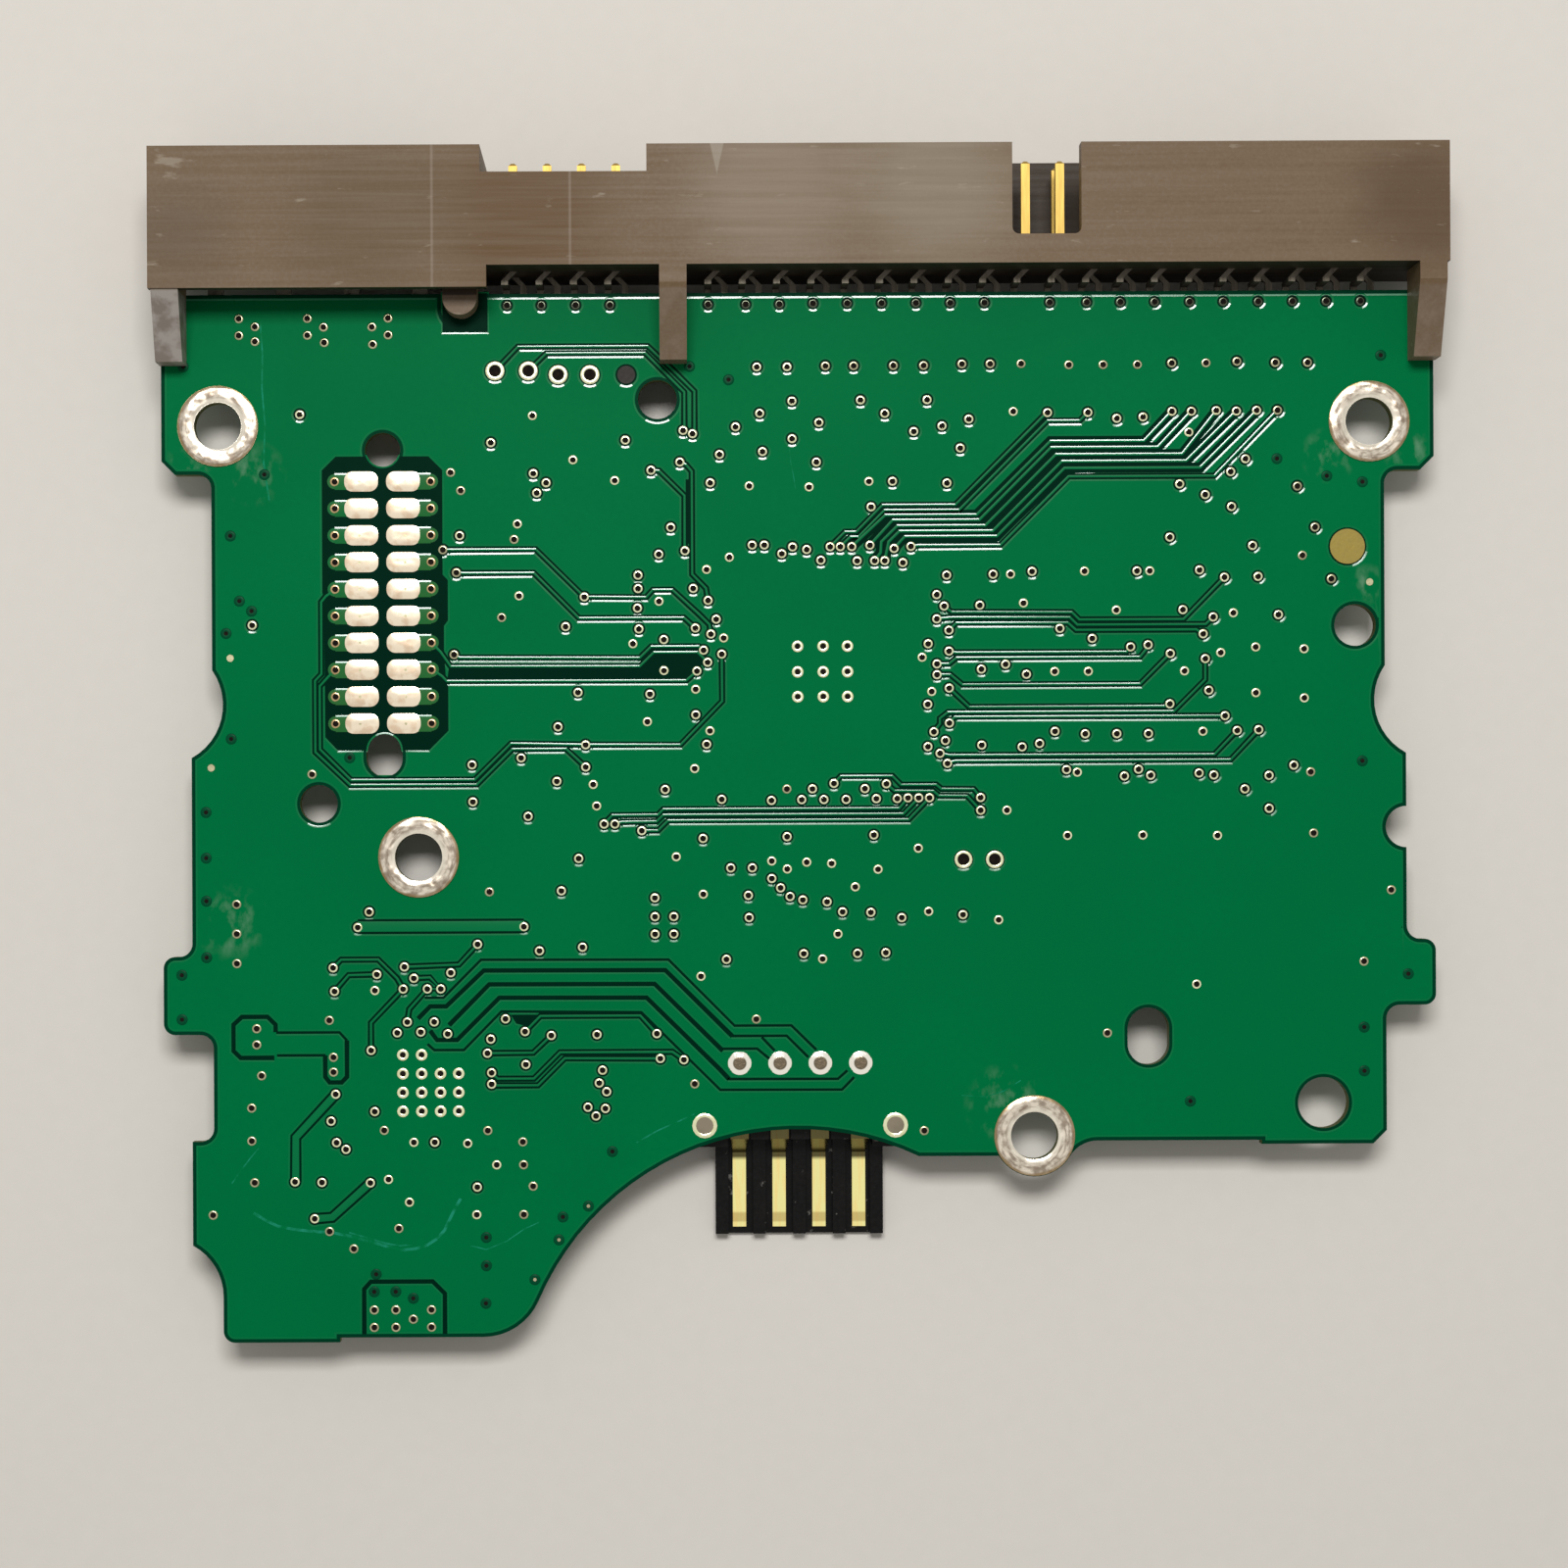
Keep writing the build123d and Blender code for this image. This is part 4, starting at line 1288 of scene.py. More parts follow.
@dataclass
class Routing:
    """Every trace on the solder side, by width and gap."""

    fine: Run = Run(0.17, 0.16, (
        # jumper pair, and the lines below it
        ((-22.47, 28.13), (-20.75, 29.92), (-11.1, 29.92), (-9.2, 28.1), (-7.65, 26.55), (-7.65, 23.4)),
        ((-19.99, 28.12), (-18.65, 29.42), (-11.3, 29.42), (-8.4, 26.5), (-8.4, 23.65)),
        ((-10.9, 20.7), (-10.3, 20.65), (-8.42, 18.8), (-8.42, 14.7)),
        ((-8.75, 21.3), (-8.3, 21.1), (-7.87, 20.6), (-7.87, 12.95), (-6.85, 11.9), (-6.7, 11)),
        ((-26.4, 14.85), (-19.5, 14.85), (-15.9, 11.3), (-11.3, 11.25), (-10.8, 11.8), (-9.35, 11.8),
         (-7.3, 9.9), (-6.6, 9.2), (-6.5, 8.5)),
        ((-25.4, 13.15), (-24.9, 13.1), (-19.65, 13.1), (-16.3, 9.72), (-8.5, 9.72), (-7.65, 8.95)),
        ((-25.6, 7.05), (-25.2, 6.82), (-11.8, 6.75), (-10.95, 7.58), (-7.4, 7.58), (-7.05, 7.3)),
        ((-27.3, 7.97), (-26.6, 7.25), (-25.85, 6.17), (-11.8, 6.12), (-10.75, 7.15), (-7.5, 7.15),
         (-6.75, 6.4)),
        ((-27.3, 6), (-26.5, 5.45), (-26.15, 5.08), (-8.35, 5.05), (-7.55, 5.75)),
        # wrap round the head contacts
        ((-34.42, 11.9), (-35.1, 11.45), (-35.47, 11), (-35.47, 5.65), (-35.95, 5.15), (-35.95, -0.15),
         (-33.35, -2.62), (-23.95, -2.62), (-21.3, 0), (-17.3, 0), (-15.85, -1.35)),
        ((-34.42, 6), (-35, 5.4), (-35.6, 4.75), (-35.6, 0.05), (-33.3, -2.25), (-24.1, -2.25),
         (-21.4, 0.42), (-15.85, 0.3), (-8.8, 0.27), (-5.68, 3.5), (-5.7, 7)),
        # two of the long bus, and its link
        ((2.4, 14.95), (3.5, 16.05), (4.35, 16.05), (6.3, 18.03), (11.72, 18.03), (18.3, 24.6),
         (18.6, 24.85)),
        ((3.15, 14.95), (3.9, 15.68), (4.5, 15.68), (6.45, 17.65), (12, 17.65), (18.6, 24.25),
         (21, 24.25), (21.6, 24.85)),
        # right side buses
        ((10.85, 10.5), (11.4, 10.05), (20.35, 10), (20.9, 9.45), (28.65, 9.45), (31.7, 12.55)),
        ((10.3, 9.55), (11.5, 9.65), (20.2, 9.62), (20.75, 9.07), (30.3, 9.07), (30.85, 9.6)),
        ((11.2, 8.7), (11.75, 9.24), (20.05, 9.22), (20.65, 8.68), (29.6, 8.68), (30.1, 8.35)),
        ((11.2, 7.15), (11.7, 7.03), (24.4, 7.03), (24.7, 7.4)),
        ((10.3, 6.2), (11.2, 6.2), (11.75, 6.65), (25.4, 6.65), (26, 7.4)),
        ((10.3, 5.4), (11.3, 5.4), (12.2, 4.65), (25.4, 4.65), (27.65, 6.9)),
        ((11.2, 4.4), (12.7, 2.98), (27.2, 2.98), (27.6, 3.15)),
        ((10.05, 1.15), (10.5, 1.75), (10.5, 2.15), (11.1, 2.6), (27.9, 2.6), (30.25, 4.95), (30.25, 6.5)),
        ((11.2, 1.8), (11.6, 2.25), (31.7, 2.25)),
        ((10.5, -0.45), (11.2, -0.6), (30.9, -0.62), (32.6, 1.15)),
        ((11.05, -1.2), (11.6, -1.02), (32.1, -1.02), (34.2, 1.2)),
        # centre bus and the loops above it
        ((-14.5, -5.6), (-13.9, -4.95), (-10.5, -4.93), (-10.1, -4.52), (7.45, -4.52), (8.1, -3.75)),
        ((-13.7, -5.6), (-13.2, -5.45), (-10.6, -5.42), (-10.1, -4.94), (7.75, -4.94), (8.9, -3.75)),
        ((-11.7, -6.1), (-10.5, -6.1), (-9.75, -5.36), (8.15, -5.36), (9.7, -3.75)),
        ((2.6, -2.65), (3.1, -2.12), (6.95, -2.12), (7.6, -2.78), (10.2, -2.78), (10.6, -3.1),
         (13, -3.12), (13.5, -3.75)),
        ((6.5, -2.7), (7.1, -3.22), (10, -3.25), (10.4, -3.6), (12.5, -3.62), (13.5, -4.7)),
        # lower left
        ((-20.45, -21), (-19.3, -19.85), (-11.88, -19.85), (-10.65, -21.2)),
        ((-23.25, -22.6), (-19.85, -22.58), (-18.5, -21.3)),
        ((-22.95, -24.05), (-22.5, -24.5), (-19.8, -24.5), (-17.85, -22.56), (-9.5, -22.56),
         (-8.65, -23.15)),
        ((-22.95, -24.9), (-22.5, -25), (-19.5, -25), (-17.5, -23), (-10.4, -23.05)),
        ((-34.7, -16.2), (-34.1, -15.6), (-31.35, -15.6), (-29.95, -17), (-29.5, -17.8)),
        ((-34.6, -17.95), (-33.55, -16.75), (-31.45, -16.7)),
        ((-29.4, -16.15), (-25.35, -16), (-23.95, -14.5)),
        ((-28.7, -17), (-27.5, -16.95), (-26.7, -17.8), (-27.7, -17.8), (-29.05, -19.3),
         (-29.2, -20.25)),
        ((-29.5, -17.8), (-31.9, -20.3), (-31.9, -22.35)),
    ))
    bus: Run = Run(0.2, 0.3, (
        ((4, 14.95), (6.5, 17.28), (13.3, 17.28), (18.8, 22.72), (25.77, 22.72), (27.85, 24.9)),
        ((5.35, 15.05), (7.05, 16.9), (13.5, 16.9), (18.85, 22.25), (26.8, 22.25), (29.3, 24.9)),
        ((5.7, 13.9), (6.15, 14.5), (6.2, 15.3), (7.4, 16.48), (13.95, 16.48), (19.2, 21.73),
         (28.6, 21.73), (31.15, 24.9)),
        ((6.45, 13.9), (6.75, 15.3), (7.55, 16.08), (14.5, 16.08), (19.65, 21.22), (28.9, 21.22),
         (32.65, 24.9)),
        ((7.15, 14.8), (7.95, 15.68), (14.8, 15.68), (19.85, 20.72), (29.95, 20.72), (34.15, 24.9)),
    ))
    bus_end: Run = Run(0.18, 0.15, (
        ((8.4, 14.95), (8.9, 15.02), (15.05, 15.02), (20.15, 20.1), (31, 20.1), (35.7, 24.95)),
    ))
    wide: Run = Run(0.53, 0.17, (
        ((-34.55, -25.6), (-37.53, -28.8), (-37.55, -32.1)),
        ((-36.15, -34.85), (-34.85, -34.75), (-32, -32.2)),
    ))
    sense: Run = Run(0.76, 0.17, (((-32.85, -13.15), (-20.5, -13.15)),))
    # No trace lies in these: they are the bare gaps round copper areas.
    thin_gaps: Run = Run(0.0, 0.095, (
        ((-27.9, -18.45), (-26.5, -18.45), (-23.7, -15.65), (-9.76, -15.7), (-4.87, -20.63),
         (-0.65, -20.63), (1.2, -22.45)),
        ((-27.7, -21.9), (-27.2, -22.35), (-25, -22.35), (-22.2, -19.5), (-11.8, -19.6), (-5.95, -25.4),
         (3.1, -25.42), (4, -24.5)),
        ((-5.4, -24.6), (2.8, -24.62), (3.5, -24)),
        ((-5.1, -21.4), (-1, -21.4), (0.6, -23)),
        ((-2.85, -21.5), (-1.9, -22.5)),
        ((-5.8, -22.35), (-3.2, -22.35), (-2.3, -23.1)),
        ((-38.95, -21), (-34.25, -21), (-33.7, -21.6)),
        ((-35.3, -22.7), (-38.9, -22.7)),
    ))
    thick_gaps: Run = Run(0.0, 0.17, (
        ((-28.4, -20), (-27.5, -19.1), (-26.3, -19.1), (-23.5, -16.45), (-10, -16.48), (-5.05, -21.4)),
        ((-26.1, -20.5), (-23.1, -17.48), (-10.8, -17.5), (-5.75, -22.5)),
        ((-27.5, -20.9), (-27, -21.6), (-25.5, -21.6), (-22.35, -18.48), (-11.4, -18.52), (-6, -23.85),
         (-5.3, -24.6)),
        ((-39, -20.95), (-39, -20.4), (-39.6, -19.82), (-41.5, -19.82), (-42.13, -20.4),
         (-42.13, -22.35), (-41.6, -22.87), (-39.1, -22.87)),
        ((-33.7, -21.6), (-33.7, -24.3), (-34.1, -24.72), (-35, -24.72), (-35.32, -24.3),
         (-35.32, -22.7)),
        ((-32.5, -43.45), (-32.5, -40.1), (-32, -39.55), (-27.4, -39.55), (-26.5, -40.45),
         (-26.5, -43.45)),
    ))

    def runs(self) -> tuple[Run, ...]:
        """List every run, gaps included."""
        return (self.fine, self.bus, self.bus_end, self.wide, self.sense, self.thin_gaps, self.thick_gaps)


def arc(centre: Point, radius: float, start: float, end: float, steps: int = 12) -> Path:
    """Give points along an arc.

    Args:
        centre: the arc's centre.
        radius: its radius.
        start: the angle of its first point, in degrees.
        end: the angle of its last point.
        steps: how many straight steps it has.

    Returns:
        The points from start to end.
    """
    turns = [math.radians(start + (end - start) * i / steps) for i in range(steps + 1)]
    return tuple((centre[0] + radius * math.cos(t), centre[1] + radius * math.sin(t)) for t in turns)


@dataclass
class BarePools:
    """Areas where the copper is etched away, so that the mask looks dark."""

    outlines: tuple[Path, ...] = (
        # round the head contacts
        ((-34.35, 21.8), *arc((-30.85, 22.25), 1.36, 199, 341), (-27.45, 21.8), (-26.43, 20.78),
         (-26.43, 13), (-26.05, 12.6), (-26.05, 9.6), (-26.35, 9.2), (-26.35, 7.3), (-26.2, 5),
         (-26.05, 4.7), (-26.05, 1.4), (-27.5, -0.06), *arc((-30.8, -0.05), 1.38, 0, 180), (-34.25, -0.06),
         (-35.2, 0.95), (-35.25, 11.3), (-35.38, 11.7), (-35.38, 20.78)),
        # between the lines to the right of them
        ((-26, 6.1), (-11.9, 6.02), (-10.85, 7.05), (-7.65, 7.05), (-6.95, 6.4), (-7.4, 6),
         (-8.35, 5.2), (-26.1, 5.2)),
        # round the polarising peg
        ((-26.35, 33.9), (-26.35, 31), (-23, 31), (-23, 33.9)),
        # between the pair that runs down by the brace
        ((-8.32, 20), (-8.32, 15.4), (-7.97, 15), (-7.97, 20)),
        # by the motor driver's strips
        ((-21.5, -19.75), (-19.5, -19.75), (-20.3, -20.6), (-21.1, -20.4)),
        # long bus, between its slanted lines at both ends
        ((6.6, 17.1), (8.2, 15.2), (14.8, 15.2), (20.1, 20.3), (28.8, 21), (25.7, 22.6), (18.9, 22.6),
         (13.4, 17.1)),
    )

    def floors(self, material: Material) -> Mesh:
        """Make the bare floors."""
        return pool_mesh([anticlockwise(o) for o in self.outlines], FACE + Level.GAP.value - 0.004, material)

    def edges(self, material: Material) -> Mesh:
        """Make the pour's rounded edge round each area."""
        loops = [anticlockwise(o) for o in self.outlines]
        return SWEEP.run(line_mesh(loops, FACE + Level.EDGE.value, closed=True), EDGE_SLOPE, material)


@dataclass
class EdgeBand:
    """The bare strip that the pour leaves along the board's outline and round its holes."""

    outline_width: float = 0.26
    hole_width: float = 0.22

    def top(self) -> BMesh:
        """Copy the board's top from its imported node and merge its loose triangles.

        Returns:
            The top's faces, with the outline's points marked in the layer "outline".
        """
        top = bmesh.new()
        top.from_mesh(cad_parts["circuit_board"].data)
        bmesh.ops.remove_doubles(top, verts=top.verts[:], dist=1e-6)
        low = [f for f in top.faces if f.normal.z < 0.9 or f.calc_center_median().z < (FACE - 0.05) * MM]
        bmesh.ops.delete(top, geom=low, context="FACES")
        marked = top.verts.layers.int.new("outline")
        front = [min(top.verts, key=lambda v: v.co.x)]
        while front:
            here = front.pop()
            here[marked] = 1
            front += [e.other_vert(here) for e in here.link_edges
                      if e.is_boundary and not e.other_vert(here)[marked]]
        return top

    def copied(self, faces: list[BMFace], done: set[BMFace], outside: float,
               inside: float, finish: Material) -> Mesh:
        """Copy one inset ring at its own heights.

        Args:
            faces: the ring's faces.
            done: every face from the outline up to this ring.
            outside: the height of its outer side over the face.
            inside: the height of its inner side.
            finish: its finish.

        Returns:
            The ring's mesh.
        """
        part = bmesh.new()
        copies: dict[BMVert, BMVert] = {}
        for face in faces:
            for vert in face.verts:
                if vert not in copies:
                    height = outside if all(f in done for f in vert.link_faces) else inside
                    copies[vert] = part.verts.new(vert.co + Vector((0, 0, height * MM)))
            part.faces.new([copies[v] for v in face.verts])
        mesh = bpy.data.meshes.new("strip")
        part.to_mesh(mesh)
        part.free()
        mesh.materials.append(finish)
        return mesh

    def parts(self, floor: Material, edge: Material) -> list[Mesh]:
        """Make the strips and the pour's rounded edge beyond them.

        Args:
            floor: the mask over the bare strips.
            edge: the mask over the pour's edge.

        Returns:
            The rings, outline first.
        """
        made = []
        slope = list(zip(EDGE_SLOPE.across, EDGE_SLOPE.height))
        gap = Level.GAP.value - 0.006
        for outline, width in ((1, self.outline_width), (0, self.hole_width)):
            top = self.top()
            marked = top.verts.layers.int["outline"]
            done: set[BMFace] = set()
            rings = [(width, gap, gap, floor)]
            rings += [(b[0] - a[0], a[1], b[1], edge) for a, b in zip(slope, slope[1:])]
            for depth, outside, inside, finish in rings:
                ring = bmesh.ops.inset_region(top, faces=[f for f in top.faces if f not in done],
                                              thickness=depth * MM, use_boundary=True,
                                              use_even_offset=True)["faces"]
                done.update(ring)
                kept = [f for f in ring if all(v[marked] == outline for v in f.verts)]
                made.append(self.copied(kept, done, outside, inside, finish))
            top.free()
        return made


class Land(Enum):
    """How a via's land looks: its radius and its bore's radius."""

    SIGNAL = (0.34, 0.2)
    HEAT = (0.43, 0.2)
    PAIR = (0.35, 0.2)
    PROBE = (0.71, 0.42)
    LONG_PROBE = (0.66, 0.43)
    PEG = (0.93, 0.62)
    CONTACT = (1.32, 1.3)


@dataclass(frozen=True)
class ViaGroup:
    """Vias of one kind: where they are and how far, if at all, they stand apart from the pour."""

    places: tuple[Point, ...]
    land: Land = Land.SIGNAL
    apart: float = 0.0

    def clearance(self, floor: Material, edge: Material) -> list[Mesh]:
        """Make the etched ring round lands that stand apart from the pour.

        Args:
            floor: the mask over the bare ring.
            edge: the mask over the pour's edge.

        Returns:
            The bare discs and the edges round them, or nothing where the lands join the pour.
        """
        if not self.apart:
            return []
        radius = self.land.value[0] + self.apart
        discs = DISCS.run(self.places, FACE + Level.GAP.value - 0.001, floor, radius, 18)
        rims = RINGS.run(point_mesh(self.places, FACE + Level.EDGE.value), EDGE_SLOPE, edge, radius, 24)
        return [discs, rims]

    def rings(self, material: Material) -> Mesh:
        """Make the tinned lands as low rounded rings.

        Args:
            material: the tin's finish.

        Returns:
            The lands as one mesh.
        """
        outer, bore = self.land.value
        width = outer - bore
        section = Section((0.0, width * 0.25, width * 0.72, width), (0.004, 0.034, 0.03, 0.0))
        return RINGS.run(point_mesh(self.places, FACE + Level.LAND.value), section, material, bore, 16)

    def bores(self, material: Material) -> Mesh:
        """Close each bore with a dark disc."""
        return DISCS.run(self.places, FACE + Level.BORE.value, material, self.land.value[1] + 0.02)


@dataclass
class Vias:
    """Every via and probe point on the solder side.

    Heat vias sit under hot chips, tails by the connector's pins, heads by the contacts of
    the heads. Filled ones are closed with solder, eyes are covered but for a dot.
    """

    apart: ViaGroup = ViaGroup((
        (-37, 24.95), (-40.6, 9.3), (-3, 28.35), (-0.75, 28.35), (-0.4, 25.8), (-2.8, 24.9),
        (-4.6, 23.9), (-0.4, 23), (-2.6, 22.05), (-5.8, 21.85), (-6.5, 19.75), (-22.8, 22.8),
        (-12.8, 22.95), (-8.5, 23.65), (-7.8, 23.4), (-8.75, 21.3), (-10.9, 20.7), (-19.65, 20.5),
        (-18.7, 19.8), (-19.4, 19.05), (-25.15, 15.9), (-9.45, 16.45), (-10.35, 14.45), (-8.4, 14.7),
        (-3.4, 15.1), (-2.5, 15.1), (-1.2, 14.45), (-0.4, 14.95), (-11.9, 12.9), (-11.9, 11.9),
        (-11.95, 10.45), (-15.9, 11.3), (-7.8, 11.9), (-6.7, 11), (-17.3, 9.1), (-11.85, 8.9),
        (-6.1, 9.6), (-7.65, 8.95), (-6.5, 8.5), (-10, 8.1), (-7.05, 7.3), (-5.7, 7), (-6.75, 6.4),
        (-7.55, 5.75), (-16.4, 4.2), (-11.05, 4.05), (-17.9, 1.65), (-7.65, 2.5), (-15.85, 0.3),
        (-6.85, 0.3), (4.7, 25.85), (9.65, 25.85), (6.5, 24.85), (1.6, 24.2), (10.75, 23.9), (12.75, 24.4),
        (8.65, 23.5), (12.1, 22.25), (1.4, 21.25), (11.1, 19.65), (7.05, 19.8), (5.45, 17.9),
        (21.6, 24.85), (23.75, 24.4), (25.7, 24.5), (27.85, 24.9), (29.3, 24.9), (31.15, 24.95),
        (32.65, 24.9), (34.15, 24.95), (18.6, 24.85), (33.3, 21.35), (32.2, 20.4), (28.4, 19.5),
        (30.3, 18.7), (32.25, 17.8), (27.65, 15.55), (33.8, 14.9), (2.4, 14.95), (3.15, 14.95),
        (4, 14.95), (5.35, 15.05), (7.15, 14.8), (8.4, 14.95), (0.65, 14.75), (1.7, 13.95), (4.4, 13.9),
        (5.7, 13.9), (6.45, 13.9), (7.8, 13.75), (11.05, 12.8), (14.5, 12.85), (17.4, 13.05),
        (25.2, 13.05), (29.85, 13.1), (31.7, 12.55), (34.2, 12.6), (10.3, 11.35), (10.85, 10.5),
        (13.5, 10.55), (10.3, 9.55), (11.2, 8.7), (19.45, 8.8), (21.85, 8.05), (28.6, 10.15), (30.85, 9.6),
        (30.1, 8.35), (35.7, 9.75), (9.65, 7.7), (10.3, 6.2), (10.3, 5.4), (11.2, 7.15), (13.6, 5.8),
        (15.4, 6.15), (16.95, 5.4), (24.7, 7.4), (26, 7.55), (27.65, 6.9), (30.25, 6.5), (9.6, 3.2),
        (11.2, 4.4), (27.6, 3.15), (30.5, 4.15), (10.05, 1.15), (11.2, 1.8), (10.9, 0.5), (9.6, 0.05),
        (10.5, -0.45), (13.6, 0.15), (16.6, 0), (17.9, 0.25), (19.05, 1.15), (21.3, 0.95), (23.65, 0.95),
        (26, 0.95), (32.6, 1.15), (34.2, 1.2), (31.7, 2.25), (-24.3, -1.15), (-20.65, -0.65),
        (-18, -2.4), (-15.85, -1.35), (-24.25, -3.9), (-20.15, -5), (-9.95, -3.05), (-5.75, -3.8),
        (-2.05, -3.9), (0.2, -3.85), (-14.5, -5.6), (-13.7, -5.6), (-11.7, -6.1), (-7.15, -6.7),
        (-0.9, -6.6), (-16.4, -8.15), (-5.1, -8.9), (-3.5, -8.9), (-2.05, -9.7), (-1.4, -10.4),
        (-0.7, -11.05), (-17.7, -10.55), (-10.75, -11.1), (-3.8, -10.95), (-10.75, -12.5), (-9.35, -12.5),
        (-10.75, -13.8), (-9.35, -13.8), (-3.75, -12.6), (-32, -12.05), (-32.85, -13.2), (-20.5, -13.2),
        (-23.95, -14.5), (-19.35, -15), (-16.15, -14.75), (-5.45, -15.7), (-34.7, -16.2),
        (-29.4, -16.15), (-31.45, -16.7), (-28.7, -17), (-25.95, -16.6), (-34.6, -17.95), (-29.5, -17.8),
        (-27.7, -17.8), (-26.7, -17.8), (-29.2, -20.25), (-27.2, -20.25), (-29.95, -21.05), (-28.2, -21),
        (-26.2, -21.15), (-21.9, -20.05), (-20.45, -21), (-23, -21.55), (-18.5, -21.3),
        (-15.1, -21.25), (-10.65, -21.2), (-31.9, -22.35), (-23.25, -22.6), (-20.4, -23.45),
        (-10.4, -23.05), (-8.65, -23.15), (-22.95, -24.05), (-22.95, -24.9), (-14.7, -23.9),
        (-14.95, -24.85), (-14.4, -25.5), (-15.8, -26.65), (-14.5, -26.75), (-15.2, -27.3),
        (-34.55, -25.6), (-31.65, -26.9), (-34.9, -27.6), (-34.5, -29.2), (-33.8, -29.7), (-27.2, -29.2),
        (-37.6, -32.1), (-35.6, -32.15), (-32, -32.2), (-24.05, -32.55), (-36.15, -34.85), (1, -3.05),
        (2.6, -2.65), (4.9, -3.05), (6.5, -2.7), (1.85, -3.85), (3.5, -3.85), (5.75, -3.8), (7.3, -3.8),
        (8.1, -3.75), (8.9, -3.75), (9.7, -3.75), (13.5, -3.75), (13.5, -4.7), (5.55, -6.5), (0.25, -11.3),
        (2.05, -11.45), (3.2, -12.2), (5.3, -12.25), (7.6, -12.65), (12.15, -12.45), (0.3, -15.3),
        (4.3, -15.3), (6.4, -15.25), (11.05, -1.2), (19.9, -1.7), (24.2, -2.2), (25.25, -1.7),
        (26.15, -2.15), (29.75, -2), (30.85, -2.15), (34.95, -2.2), (36.8, -1.45), (34.95, -4.65),
        (33.15, -3.2),
    ), apart=0.135)
    joined: ViaGroup = ViaGroup((
        (-3.6, 19.5), (-19.7, 24.8), (-16.7, 21.5), (-13.6, 19.95), (-20.85, 16.75), (-5.1, 14.2),
        (-6.8, 13.3), (-10.35, 10.95), (-20.75, 11.4), (-5.55, 8.2), (-12.3, 7.8), (-10, 5.8),
        (-7.65, 4.4), (-11.25, 2), (-6.6, 1.3), (16.05, 24.95), (5.3, 19.8), (0.85, 19.4), (29.1, 23.35),
        (15.8, 12.85), (21.3, 13.05), (26.15, 13.05), (16.75, 10.7), (23.65, 10.15), (32.35, 9.9),
        (9.2, 6.7), (19.05, 5.6), (21.55, 5.6), (28.7, 5.6), (31.4, 6.95), (34, 7.35), (37.6, 7.2),
        (9.9, 4.15), (34, 3.95), (37.6, 3.55), (30.05, 1.1), (-15.3, -2.65), (-7.75, -1.5),
        (-15.05, -4.25), (-9.15, -8.05), (-2.05, -8.4), (-0.9, -9), (-7.15, -10.85), (-7.35, -16.95),
        (-31.6, -17.9), (-30.65, -31.95), (-29.1, -33.65), (-24.1, -34.6), (-22.6, -30.9), (-24.75, -29.3),
        (-28.75, -29.2), (15.45, -4.7), (8.85, -7.5), (0.55, -8.5), (2.4, -8.6), (5.85, -9.05),
        (4.15, -10.35), (9.6, -12.2), (14.8, -12.85), (2.85, -13.85), (1.7, -15.7), (20.7, -1.9),
        (19.95, -6.6), (25.55, -6.6), (31.1, -6.65), (29.5, -17.7),
    ))
    heat: ViaGroup = ViaGroup(
        grid((-0.06, 1.84, 3.65), (7.55, 5.65, 3.8))
        + grid((-29.55, -28.15, -26.75, -25.4), (-24.1, -25.5, -26.9)) + grid((-29.55, -28.15), (-22.7,)),
        Land.HEAT)
    dull: ViaGroup = ViaGroup((
        (-41.5, 32.1), (-41.5, 30.85), (-40.3, 31.5), (-40.3, 30.4), (-36.4, 32.1), (-36.4, 30.85),
        (-35.2, 31.45), (-35.15, 30.3), (-31.6, 31.45), (-31.55, 30.15), (-30.4, 32.1), (-30.4, 30.85),
        (-25.8, 20.6), (-25.05, 19.25), (-21.1, 15.6), (-22.05, 9.8), (16.65, 28.5), (20.2, 28.4),
        (22.75, 28.4), (25.3, 28.4), (30.4, 28.5), (37.5, 14.15), (-36.2, -1.8), (-0.9, -3.05),
        (-23.05, -10.6), (-41.85, -11.45), (-41.85, -13.65), (-41.85, -15.85), (-35, -20.1),
        (-3.25, -20.15), (-7.85, -24.95), (-40.4, -20.7), (-40.4, -21.9), (-34.7, -22.85), (-34.7, -23.95),
        (-40.05, -24.2), (-40.8, -26.6), (-30.95, -28.3), (-23.25, -28.35), (-40.8, -29.05),
        (-20.65, -29.2), (-20.6, -30.9), (-40.6, -32.15), (-19.9, -32.5), (-43.7, -34.55), (-20.6, -34.6),
        (-35.05, -35.8), (-29.9, -35.6), (-33.25, -37.1), (38.05, -1.95), (38.25, -6.5), (44, -10.75),
        (41.95, -16.05), (22.85, -21.3), (9.2, -28.5), (-31.75, -41.65), (-30.15, -41.65), (-27.5, -41.65),
        (-28.85, -42.35), (-31.75, -42.95), (-30.15, -42.95), (-27.5, -42.95),
    ))
    tails: ViaGroup = ViaGroup(
        grid((-21.55, -19.0, -16.45, -13.9, -6.6, -3.8, -1.3), (33.0,))
        + grid((1.2, 3.75, 6.3, 8.85, 11.4, 13.95, 18.8, 21.55, 24.05, 26.6, 29.2, 31.7, 34.3, 36.85, 39.35,
                41.9), (33.05,)), apart=0.11)
    dull_apart: ViaGroup = ViaGroup((
        (2.1, 28.4), (4.2, 28.4), (7.15, 28.4), (9.4, 28.4), (12.25, 28.5), (14.35, 28.5), (27.85, 28.5),
        (32.7, 28.6), (35.55, 28.5), (37.95, 28.5), (35.7, 24.95), (37.15, 19.3), (38.45, 16.25),
        (39.65, 12.4), (-26.4, 14.85), (-25.4, 13.15), (-25.6, 7.05),
    ), apart=0.135)
    heads: ViaGroup = ViaGroup(grid(HEAD_VIA_COLUMNS, HEAD_ROWS), Land.PAIR)
